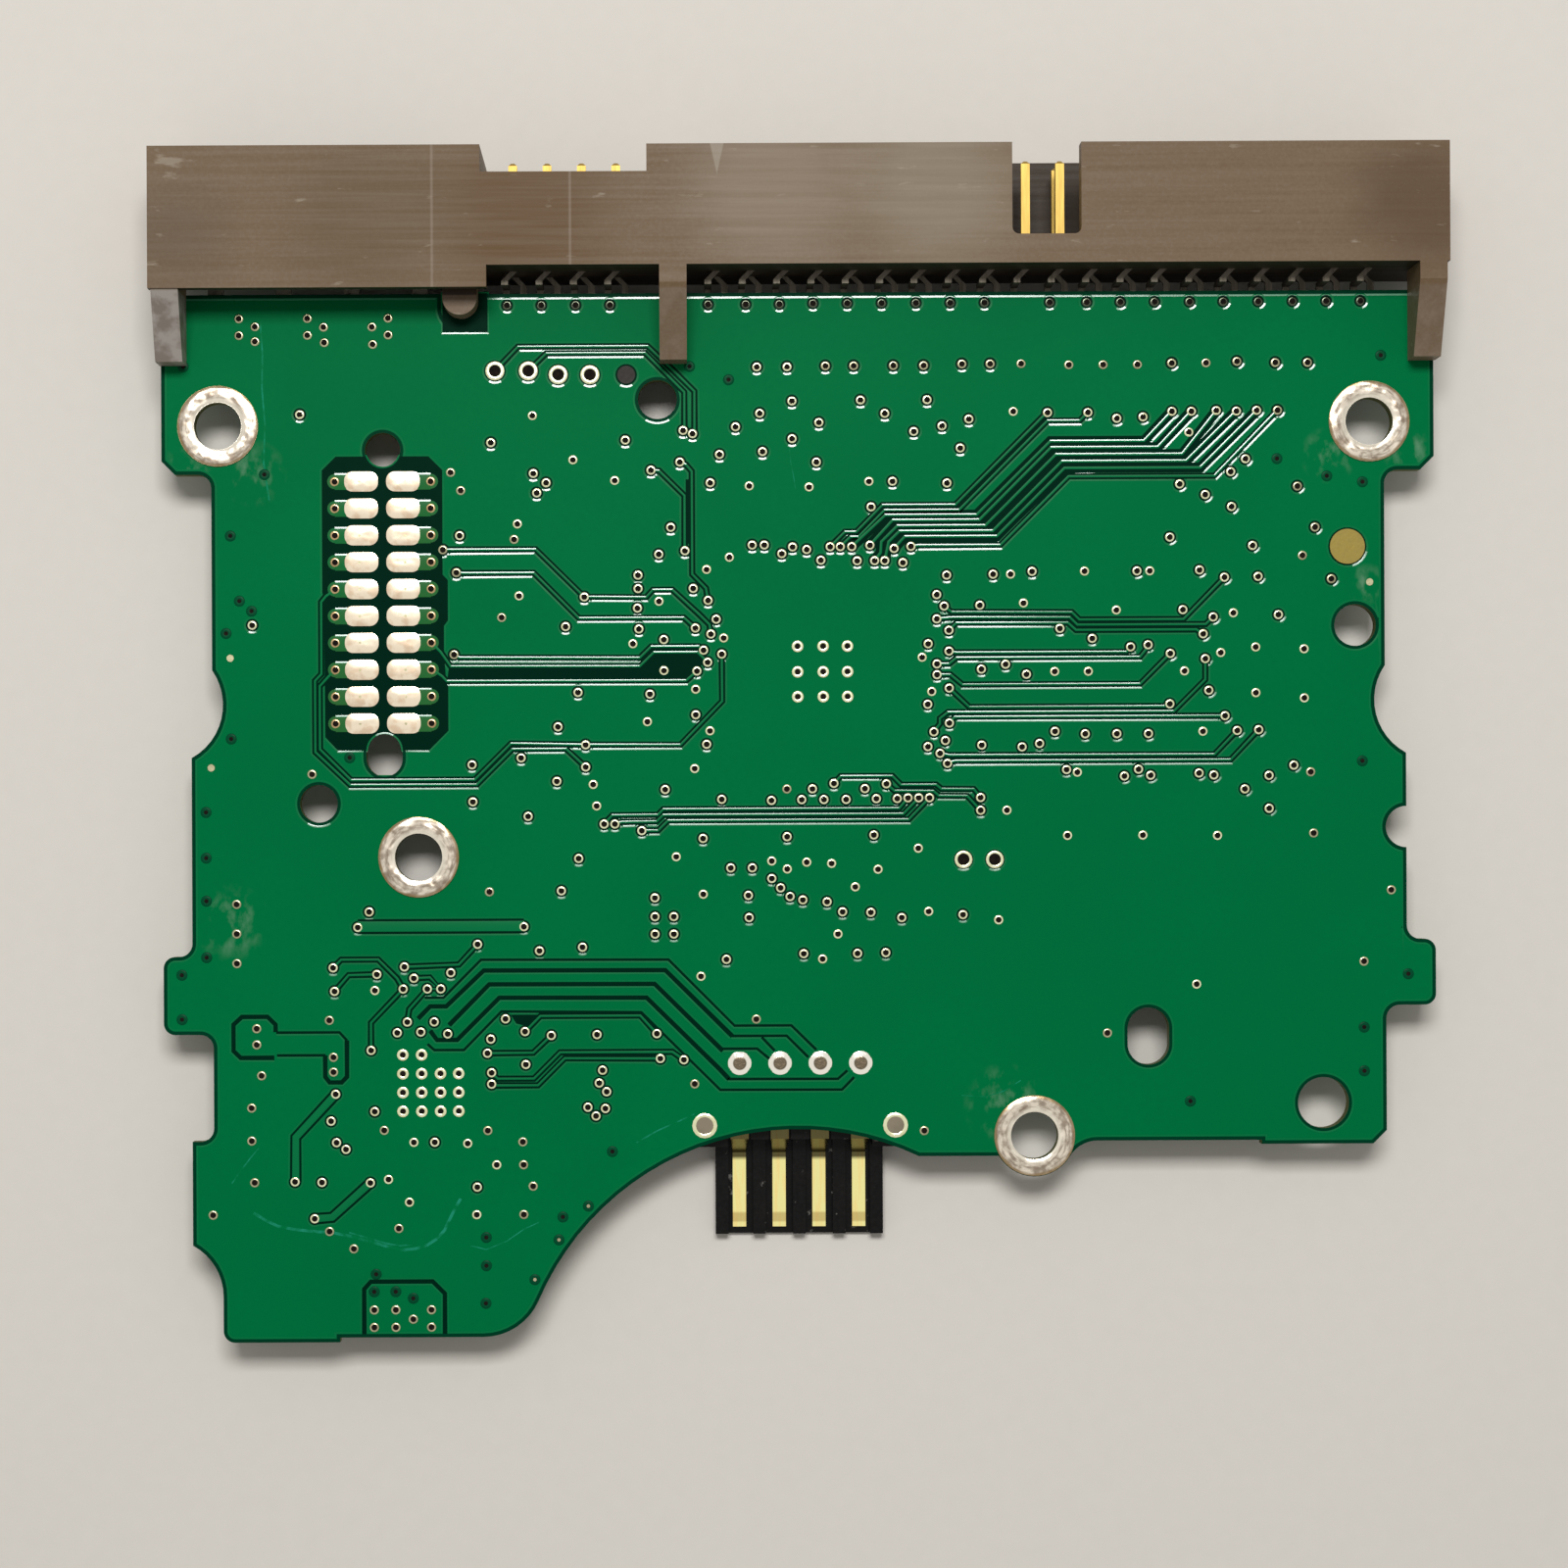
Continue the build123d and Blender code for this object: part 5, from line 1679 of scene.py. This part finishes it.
    covered: tuple[Point, ...] = (
        (-45.65, 28.55), (-39.65, 20.5), (-42.2, 15.95), (-42.55, 8.7), (-42.2, 0.85), (-8, 28.4),
        (-5.1, 27.4), (-33.4, -0.58), (-44.1, -4.6), (-44.1, -8), (-44.1, -11.2), (-44.1, -15.4),
        (-45.95, -16.7), (-45.95, -20), (43.4, 29), (35.65, 21.35), (39.35, 20.05), (42, 19.6),
        (41.9, -1.15), (45.25, -17), (41.95, -20.95), (41.95, -24.2), (29, -26.4), (-14, -29.95),
        (-17.7, -34.8), (-23.4, -36.3), (-23.4, -38.4), (-31.6, -39), (-23.45, -41.2), (-31.75, -40.3),
        (-30.15, -40.3), (-28.85, -40.8), (-41.55, 11.1), (-40.65, 10.35),
    )
    filled: tuple[Point, ...] = ((-42.25, 6.85), (-43.7, -1.3), (42.5, 12.15))
    eyes: tuple[Point, ...] = ((-15.8, -34.0), (-18.0, -36.5), (-19.8, -39.45))
    probes: ViaGroup = ViaGroup(
        ((-22.47, 28.13), (-19.99, 28.12), (-17.77, 27.83), (-15.41, 27.82)), Land.PROBE, 0.09)
    long_probes: ViaGroup = ViaGroup(((12.21, -8.35), (14.54, -8.36)), Land.LONG_PROBE, 0.07)
    plugged: ViaGroup = ViaGroup(((-12.71, 27.8),), Land.PROBE, 0.09)
    pegs: ViaGroup = ViaGroup(((-7.12, -28.07), (7.07, -28.08)), Land.PEG)
    contact: ViaGroup = ViaGroup(((40.85, 14.8),), Land.CONTACT, 0.1)


@dataclass
class SolderSide:
    """All the relief on the board's bare side, from etched gaps to tinned lands."""

    finishes: dict[str, Material]
    routing: Routing = field(default_factory=Routing)
    pools: BarePools = field(default_factory=BarePools)
    band: EdgeBand = field(default_factory=EdgeBand)
    vias: Vias = field(default_factory=Vias)
    # Which slopes take the painted highlight: along the pour's edges and traces, and round lands.
    edge_highlights: HighlightFacing = HighlightFacing(22.0, 26.0, 18.0, 22.5, -9.0)
    land_highlights: HighlightFacing = HighlightFacing(22.0, 34.0)
    peg_end: float = 0.64
    plug: float = 0.66
    dimple: Section = Section((0.0, 0.08, 0.2, 0.26), (0.0, 0.006, 0.004, -0.03))
    dimple_bore: float = 0.16
    dimple_floor: float = 0.2
    filling: float = 0.27
    eye: float = 0.13
    head_land: Section = Section((-0.62, -0.5, 0.5, 0.62), (0.0, 0.016, 0.016, 0.0))
    head_land_end: float = 0.56
    head_land_starts: Point = (-33.3, -28.5)
    probe_columns: Point = (-32.6, -29.2)
    probe_mark: float = 0.1

    def build_copper(self) -> None:
        """Make the etched floors, the pour's edges and the traces."""
        bare, shoulder, highlighted = (self.finishes[name] for name in ("bare", "shoulder", "highlighted"))
        runs, vias = self.routing.runs(), self.vias
        groups = (vias.apart, vias.dull_apart, vias.tails, vias.probes, vias.long_probes, vias.plugged,
                  vias.contact)
        rings = [g.clearance(bare, shoulder) for g in groups]
        floors = [r.gaps(bare) for r in runs] + [self.pools.floors(bare)] + [r[0] for r in rings]
        edges = [e for r in runs for e in r.edges(shoulder)] + [self.pools.edges(shoulder)]
        for part in self.band.parts(self.finishes["strip"], shoulder):
            (edges if part.materials[0] is shoulder else floors).append(part)
        add_piece("etched_floors", floors)
        for name, parts, highlight_rule in (
                ("pour_edges", edges, self.edge_highlights),
                ("clearance_edges", [r[1] for r in rings], self.land_highlights),
                ("traces", [r.traces(shoulder) for r in runs if r.width], self.edge_highlights)):
            add_piece(name, parts, highlighted=highlighted, highlight_rule=highlight_rule)

    def build_vias(self) -> None:
        """Make the tinned rings, the bores and the covered dimples."""
        vias, finishes = self.vias, self.finishes
        bright = (vias.apart, vias.joined, vias.heat, vias.probes, vias.long_probes)
        dull, stained, darkest = (vias.dull, vias.dull_apart), (vias.heads,), (vias.tails,)
        for name, groups in (("bright", bright + (vias.pegs,)), ("dull", dull), ("stained", stained),
                             ("darkest", darkest)):
            add_piece(f"{name}_lands", [g.rings(finishes[name]) for g in groups])
        add_piece("via_bores", [g.bores(finishes["bore"]) for g in bright + dull + stained + darkest])
        level = FACE + Level.LAND.value
        add_piece("peg_ends", [DISCS.run(vias.pegs.places, FACE + Level.BORE.value, finishes["peg"],
                                         self.peg_end, 24)])
        add_piece("plugged_probe", [DISCS.run(vias.plugged.places, level, finishes["plug"], self.plug, 28)])
        sunk = vias.covered + vias.eyes
        add_piece("covered_vias", [
            RINGS.run(point_mesh(sunk, level), self.dimple, finishes["covered"], self.dimple_bore),
            DISCS.run(sunk, level, finishes["bore"], self.dimple_floor)])
        add_piece("filled_vias", [
            DISCS.run(vias.filled, level, finishes["dull"], self.filling),
            DISCS.run(vias.eyes, level + 0.008, finishes["dull"], self.eye, 12)])

    def build_head_lands(self) -> None:
        """Make the masked copper that joins each head contact to its via."""
        level, land = FACE + Level.TRACE.value, self.finishes["land"]
        columns = tuple(zip(HEAD_VIA_COLUMNS, self.head_land_starts))
        paths = tuple(((a, y), (b, y)) for y in HEAD_ROWS for a, b in columns)
        add_piece("head_contact_lands", [
            SWEEP.run(line_mesh(paths, level + 0.006), self.head_land, land),
            DISCS.run(self.vias.heads.places, level + 0.004, land, self.head_land_end, 18)],
                  highlighted=self.finishes["highlighted"], highlight_rule=self.land_highlights)
        centres = grid(self.probe_columns, (y - 0.02 for y in HEAD_ROWS))
        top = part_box("head_contact_pads")[1].z / MM + 0.055
        marks = DISCS.run(centres, top, self.finishes["dull"], self.probe_mark, 12)
        add_piece("probe_dimples", [marks])

    def build(self) -> None:
        """Build everything on the solder side."""
        self.build_copper()
        self.build_vias()
        self.build_head_lands()


@dataclass(frozen=True)
class Scratches:
    """Shallow scratches in the mask: width in millimetres and the points that each runs through."""

    lines: tuple[tuple[float, Path], ...] = (
        (0.22, (
            (-40.7, -34.4), (-39.9, -34.9), (-38.9, -35.4), (-37.6, -35.65), (-36.2, -35.8), (-34.8, -35.9),
            (-33.8, -36.1), (-32.6, -36.4), (-31.4, -36.75), (-30.4, -37.05), (-29.5, -37.2), (-28.6, -37.1),
            (-27.8, -36.85), (-27.1, -36.4), (-26.5, -35.75), (-26.1, -34.9), (-25.7, -34.1), (-25.3, -33.4))),
        (0.12, ((-33.6, -35.9), (-32.2, -36.3), (-30.9, -36.7), (-29.8, -36.9), (-28.9, -36.8))),
        (0.09, ((-42.3, -32.2), (-41.6, -31.2), (-40.9, -30.3), (-40.3, -29.6))),
        (0.08, ((-24.6, -36.9), (-23.4, -37.2), (-21.9, -36.6), (-20.6, -35.7), (-19.5, -35.2))),
        (0.1, ((-12.2, -29.3), (-10.6, -28.4), (-9, -27.7), (-7.9, -27.2))),
        (0.05, ((-0.6, 22.2), (-0.5, 21.2), (-0.3, 20.2), (-0.15, 19.2))),
        (0.12, ((-39.9, 31.8), (-39.75, 29.4), (-39.8, 27), (-39.6, 24.2), (-39.7, 21.4), (-39.3, 18.6))),
        (0.07, ((12, -25.9), (13.8, -26), (15.1, -25.6), (16.4, -24.8))),
    )

    def build(self, finish: Material) -> None:
        """Lay the scratches on the mask.

        Args:
            finish: the mask where it was scratched.
        """
        add_piece("mask_scratches", [SWEEP.run(line_mesh([path], FACE + 0.004), flat(width / 2), finish)
                                     for width, path in self.lines])


@dataclass
class HeadPads:
    """The twenty tinned contacts that the heads' spring pins press on."""

    columns: Point = (-32.475, -29.325)
    half: Point = (1.275, 0.75)
    corner: float = 0.66
    corner_steps: int = 7
    skirt: float = 0.055
    pillow: float = 0.075
    ripples: float = 0.02
    # How large each ring of points is beside the outline, from the pad's edge to its middle.
    shares: tuple[float, ...] = (1.0, 0.985, 0.94, 0.86, 0.74, 0.58, 0.38, 0.18)

    def outline(self) -> Path:
        """Round the four corners of one pad.

        Returns:
            The outline round the pad's centre, anticlockwise.
        """
        points = []
        for quarter, (sx, sy) in enumerate(((1, 1), (-1, 1), (-1, -1), (1, -1))):
            for step in range(self.corner_steps + 1):
                turn = math.radians(90 * (quarter + step / self.corner_steps))
                points.append((sx * (self.half[0] - self.corner) + self.corner * math.cos(turn),
                               sy * (self.half[1] - self.corner) + self.corner * math.sin(turn)))
        return tuple(points)

    def height(self, x: float, y: float, share: float) -> float:
        """Give the tin's thickness: a low pillow that froze with soft waves.

        Args:
            x: the spot's place along the board.
            y: the spot's place across it.
            share: how near the pad's edge it is, 1 at the edge.

        Returns:
            The height over the mask.
        """
        wave = ripple.noise(Vector((x * 0.8, y * 1.1, 3.0)))
        wave += 0.4 * ripple.noise(Vector((x * 2.1, y * 2.6, 9.0)))
        return self.skirt + self.pillow * (1 - share ** 3) + self.ripples * wave * (1 - share ** 2)

    def build(self, finish: Material) -> None:
        """Make the pads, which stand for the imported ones.

        Args:
            finish: the tin's finish.
        """
        outline = self.outline()
        points: list[Place] = []
        faces: list[tuple[int, ...]] = []
        for column, row in grid(self.columns, HEAD_ROWS):
            faces += ring_faces(len(points), len(outline), len(self.shares))
            points += [((column + x) * MM, (row + y) * MM, FACE * MM) for x, y in outline]
            for share in self.shares:
                spots = [(column + x * share, row + y * share) for x, y in outline]
                points += [(x * MM, y * MM, (FACE + self.height(x, y, share)) * MM) for x, y in spots]
            faces.append(tuple(range(len(points) - len(outline), len(points))))
        pads = mesh_of("pads", points, faces=faces, finish=finish)
        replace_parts(add_piece("tinned_head_contacts", [pads], 50.0), "head_contact_pads")


@dataclass
class LandSolder:
    """Hot levelled solder on the four screw lands, frozen in waves round each hole."""

    places: tuple[Point, ...] = ((-43.1, 24.1), (42.5, 24.1), (-28.3, -8.0), (17.4, -28.9))
    inner: float = 1.79
    outer: float = 2.97
    rings: int = 12
    sides: int = 112
    rim: float = 0.012
    crown: float = 0.07
    ripples: float = 0.055

    def height(self, place: Point, turn: float, share: float) -> float:
        """Give the solder's thickness at one spot.

        Args:
            place: the hole's centre.
            turn: the angle round the hole.
            share: how far out from the hole, from 0 to 1.

        Returns:
            The height over the land.
        """
        spot = Vector((math.cos(turn) * 2.3, math.sin(turn) * 2.3, share * 1.2)) + Vector((*place, 0.0))
        wave = ripple.noise(spot * 0.9) + 0.45 * ripple.noise(spot * 2.3)
        swell = math.sin(math.pi * min(max(share, 0.0), 1.0)) ** 0.6
        return self.rim + swell * (self.crown + self.ripples * wave)

    def build(self, finish: Material) -> None:
        """Make the solder on all four lands.

        Args:
            finish: the solder's finish.
        """
        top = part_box("screw_lands")[1].z / MM
        points: list[Place] = []
        faces: list[tuple[int, int, int, int]] = []
        for place in self.places:
            faces += ring_faces(len(points), self.sides, self.rings, outward=True)
            for share in (ring / self.rings for ring in range(self.rings + 1)):
                radius = self.inner + (self.outer - self.inner) * share
                for turn in (2 * math.pi * side / self.sides for side in range(self.sides)):
                    points.append(((place[0] + radius * math.cos(turn)) * MM,
                                   (place[1] + radius * math.sin(turn)) * MM,
                                   (top + self.height(place, turn, share)) * MM))
        add_piece("screw_land_solder", [mesh_of("solder", points, faces=faces, finish=finish)],
                  60.0)


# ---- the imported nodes


@dataclass(frozen=True)
class EndCaps:
    """Tinned ends of the chip parts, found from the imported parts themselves."""

    nodes: tuple[str, ...] = ("small_chip_capacitors", "large_chip_capacitors", "chip_resistors")
    share: float = 0.22
    lip: float = 0.02

    def ends(self, chip: set[BMVert]) -> list[tuple[Vector, float, Vector]]:
        """Find both ends of one chip.

        Args:
            chip: the chip's corners.

        Returns:
            Each end's middle, turn about Z and size, in metres.
        """
        low, high = (pick(v.co.z for v in chip) for pick in (min, max))
        under = [v.co.copy() for v in chip if v.co.z < low + 0.01 * MM]
        flat = sorted(under, key=lambda corner: (corner - under[0]).length)
        if len(flat) != 4:
            return []
        along, across = flat[2] - flat[0], (flat[1] - flat[0]).length
        lip, cap = self.lip * MM, self.share * along.length
        middle = sum(flat, Vector()) / 4
        middle.z = (low - lip + high) / 2
        turn, size = math.atan2(along.y, along.x), Vector((cap, across + 2 * lip, high - low + lip))
        reach = along.length / 2 + lip - cap / 2
        return [(middle + along.normalized() * side * reach, turn, size) for side in (-1, 1)]

    def build(self, finish: Material) -> None:
        """Dip both ends of every chip.

        Args:
            finish: the tin's finish.
        """
        places: list[tuple[Vector, float, Vector]] = []
        for name in self.nodes:
            node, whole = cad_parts[name], bmesh.new()
            whole.from_mesh(node.data)
            whole.transform(node.matrix_world)
            bmesh.ops.remove_doubles(whole, verts=whole.verts, dist=0.001 * MM)
            left = set(whole.verts)
            while left:
                chip, front = set(), [left.pop()]
                while front:
                    vert = front.pop()
                    chip.add(vert)
                    front += [end for edge in vert.link_edges for end in edge.verts if end not in chip]
                left -= chip
                places += self.ends(chip)
            whole.free()
        add_piece("chip_end_caps", [BOXES.run(places, finish)], 20.0)


@dataclass
class PackedNodes:
    """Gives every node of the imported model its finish: the finish's short name, and its nodes."""

    wear: tuple[tuple[str, str], ...] = (
        ("mask", "circuit_board"),
        ("solder", "screw_lands"),
        ("dipped", "head_contact_pads"),
        ("gold", "round_contact_pad"),
        ("nylon", "interface_housing"),
        ("pins", "bus_pins_upper bus_pins_lower jumper_pins_upper jumper_pins_lower"),
        ("tin", "power_pins controller_leads memory_leads motor_driver_leads flash_leads regulator_leads"),
        ("tin", "surge_diode_clips"),
        ("black", "motor_connector_body"),
        ("bronze", "motor_contact_blades"),
        ("joints", "motor_solder_joints"),
        ("compound", "controller_body memory_body motor_driver_body flash_body regulator_bodies"),
        ("compound", "surge_diode_bodies"),
        ("yellow", "tantalum_capacitors"),
        ("ferrite", "power_inductors"),
        ("can", "crystal"),
        ("white", "shock_sensor"),
        ("glazed", "resistor_arrays chip_resistors"),
        ("tan", "large_chip_capacitors small_chip_capacitors"),
    )

    def dress(self, finishes: dict[str, Material]) -> None:
        """Put each node's finish in its object's material slots.

        Args:
            finishes: every finish by its short name.
        """
        short = {name: finish for finish, names in self.wear for name in names.split()}
        for name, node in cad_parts.items():
            if name not in short:
                log.warning("%s has no finish", name)
                continue
            material = finishes[short[name]]
            if not node.data.materials:
                node.data.materials.append(material)
            for place in node.material_slots:
                place.material = material
            log.info("%s is dressed with %s", name, material.name)


def make_finishes() -> dict[str, Material]:
    """Make every material of the board.

    Returns:
        The materials by their short names.
    """
    melted, plated, drawn = Forming
    smears = ((-40.5, 20.6, 2.6), (-45.4, 20.6, 2.4), (39.5, 21.6, 2.2), (45.4, 21.8, 2.0),
              (15.2, -26.6, 3.2), (-42.3, -12.8, 3.0), (42.3, 12.0, 1.6))
    finishes = {
        # Plated tin: a soft satin grey without clear reflections.
        "tin": MetalFinish("plated_matte_tin", plated, "#857E72", "#625B50", 0.5, 0.6, 0.003),
        # Drawn pins: fine lines along them.
        "pins": PinFinish("gold_and_tin_dipped_pins", drawn, "#635D53", "#474137", 0.46, 0.6, 0.003),
        # Hot levelled tin: white, nearly a mirror.
        "dipped": MetalFinish("hot_levelled_tin", melted, "#FFF0D6", "#D2B090", 0.13, 0.5, 0.004, 0.6),
        # Reflowed solder: coarse grey and white waves.
        "solder": LandFinish("reflowed_solder", melted, "#EDE2D0", "#857463", 0.14, 0.5, 0.006, 0.8,
                             LandSolder.places),
        # Vias' solder: bright from the wave, then duller with flux, air and heat.
        "bright": MetalFinish("wave_soldered_tin", melted, "#EEEFC8", "#D3CF98", 0.14, 0.3, 0.004),
        "stained": MetalFinish("flux_stained_tin", melted, "#C2A67C", "#8A6C48", 0.2, 0.3, 0.006),
        "dull": MetalFinish("oxidised_solder", melted, "#B9B592", "#837E62", 0.2, 0.3, 0.006),
        # The vias along the connector's pin tails: the darkest solder.
        "darkest": MetalFinish("darkest_solder", melted, "#565C4C", "#3C4237", 0.2, 0.3, 0.006),
        # Gold over nickel: an even satin yellow. Gilt bronze: paler, with drawn lines.
        "gold": MetalFinish("hard_gold_plate", plated, "#A39150", "#8C793A", 0.15, 0.5, 0.003),
        "bronze": BladeFinish("gilt_spring_bronze", drawn, "#FFF8AA", "#FFD07C", 0.14, 0.6, 0.003, 0.4),
        # Nickel: a cool grey with broad soft reflections.
        "can": MetalFinish("nickel_plated_can", plated, "#C9C9C6", "#A9A8A2", 0.3, 1.5, 0.01, 0.3),
        "joints": JointFinish(grid((-4.5, -1.5, 1.5, 4.5), (-23.43,)), FACE + 0.15),
        # No light comes back out of a bore this narrow.
        "bore": BoreFinish(),
        # Glass filled nylon: half matt, streaky.
        "nylon": NylonFinish(),
        # Polyester: deep black with pale specks, torn crumbs with painted highlights; a dull tan where it was
        # melted.
        "black": MouldFinish("moulded_black_polyester", "#070606", "#12100E", 0.3, 0.22, 0.12, 0.6),
        "peg": MouldFinish("heat_staked_polyester", "#877C69", "#5F5545", 0.3, 0.45, 0.2),
        # Epoxy: charcoal with an even fine grain, browner in a via's plug.
        "compound": MouldFinish("epoxy_moulding_compound", "#232424", "#3A3936", 0.12, 0.55),
        "plug": MouldFinish("epoxy_via_plug", "#3A3633", "#262422", 0.3, 0.5, 0.1),
        "yellow": MouldFinish("yellow_moulded_tantalum_case", "#D79A2B", "#C08A30", 0.12, 0.45),
        # Pressed ferrite: a dusty dark grey.
        "ferrite": MouldFinish("pressed_ferrite", "#2B2B2D", "#47443F", 0.2, 0.6),
        # Fired ceramic: dense, matt, faintly speckled.
        "white": CeramicFinish("fired_alumina", "#E6E2D8", "#CFC8BA"),
        "tan": CeramicFinish("fired_barium_titanate", "#A98A62", "#8E7350"),
        "glazed": CeramicFinish("black_glazed_alumina", "#1E1E20", "#34332F"),
        # Over copper a clear green, over bare laminate nearly black.
        "mask": MaskFinish("mask_over_copper", "#006F3D", "#006738", 0.32, 0.01, smears, True),
        "bare": MaskFinish("mask_over_laminate", "#002719", "#002015", 0.32, 0.01),
        "strip": MaskFinish("mask_along_board_edge", "#003A25", "#00331E", 0.32, 0.01),
        # On the copper's edges: satin, and a lighter, glossier copy that paints the highlight on slopes facing
        # the lamp.
        "shoulder": MaskFinish("satin_mask_over_copper_edge", "#04703F", "#066A3C", 0.3, 0.05, smooth=True),
        "highlighted": MaskFinish("lighter_mask_with_painted_highlight", "#3A8A62", "#2E7D55", 0.2, 1.0, smooth=True),
        "land": MaskFinish("mask_over_head_land", "#0C6836", "#3C6430", 0.25, 0.05, smooth=True),
        "covered": MaskFinish("mask_over_via", "#004A2C", "#003F26", 0.3, 0.04),
        "scratched": ScratchFinish(),
    }
    return {name: finish.make() for name, finish in finishes.items()}


def main() -> None:
    """Build the studio and every sub-assembly in order."""
    logging.basicConfig(level=logging.INFO, format="%(name)s: %(message)s")
    Studio().set_up()
    finishes = make_finishes()
    PackedNodes().dress(finishes)
    SolderSide(finishes).build()
    Scratches().build(finishes["scratched"])
    HeadPads().build(finishes["dipped"])
    EndCaps().build(finishes["can"])
    LandSolder().build(finishes["solder"])


if __name__ == "__main__":
    main()
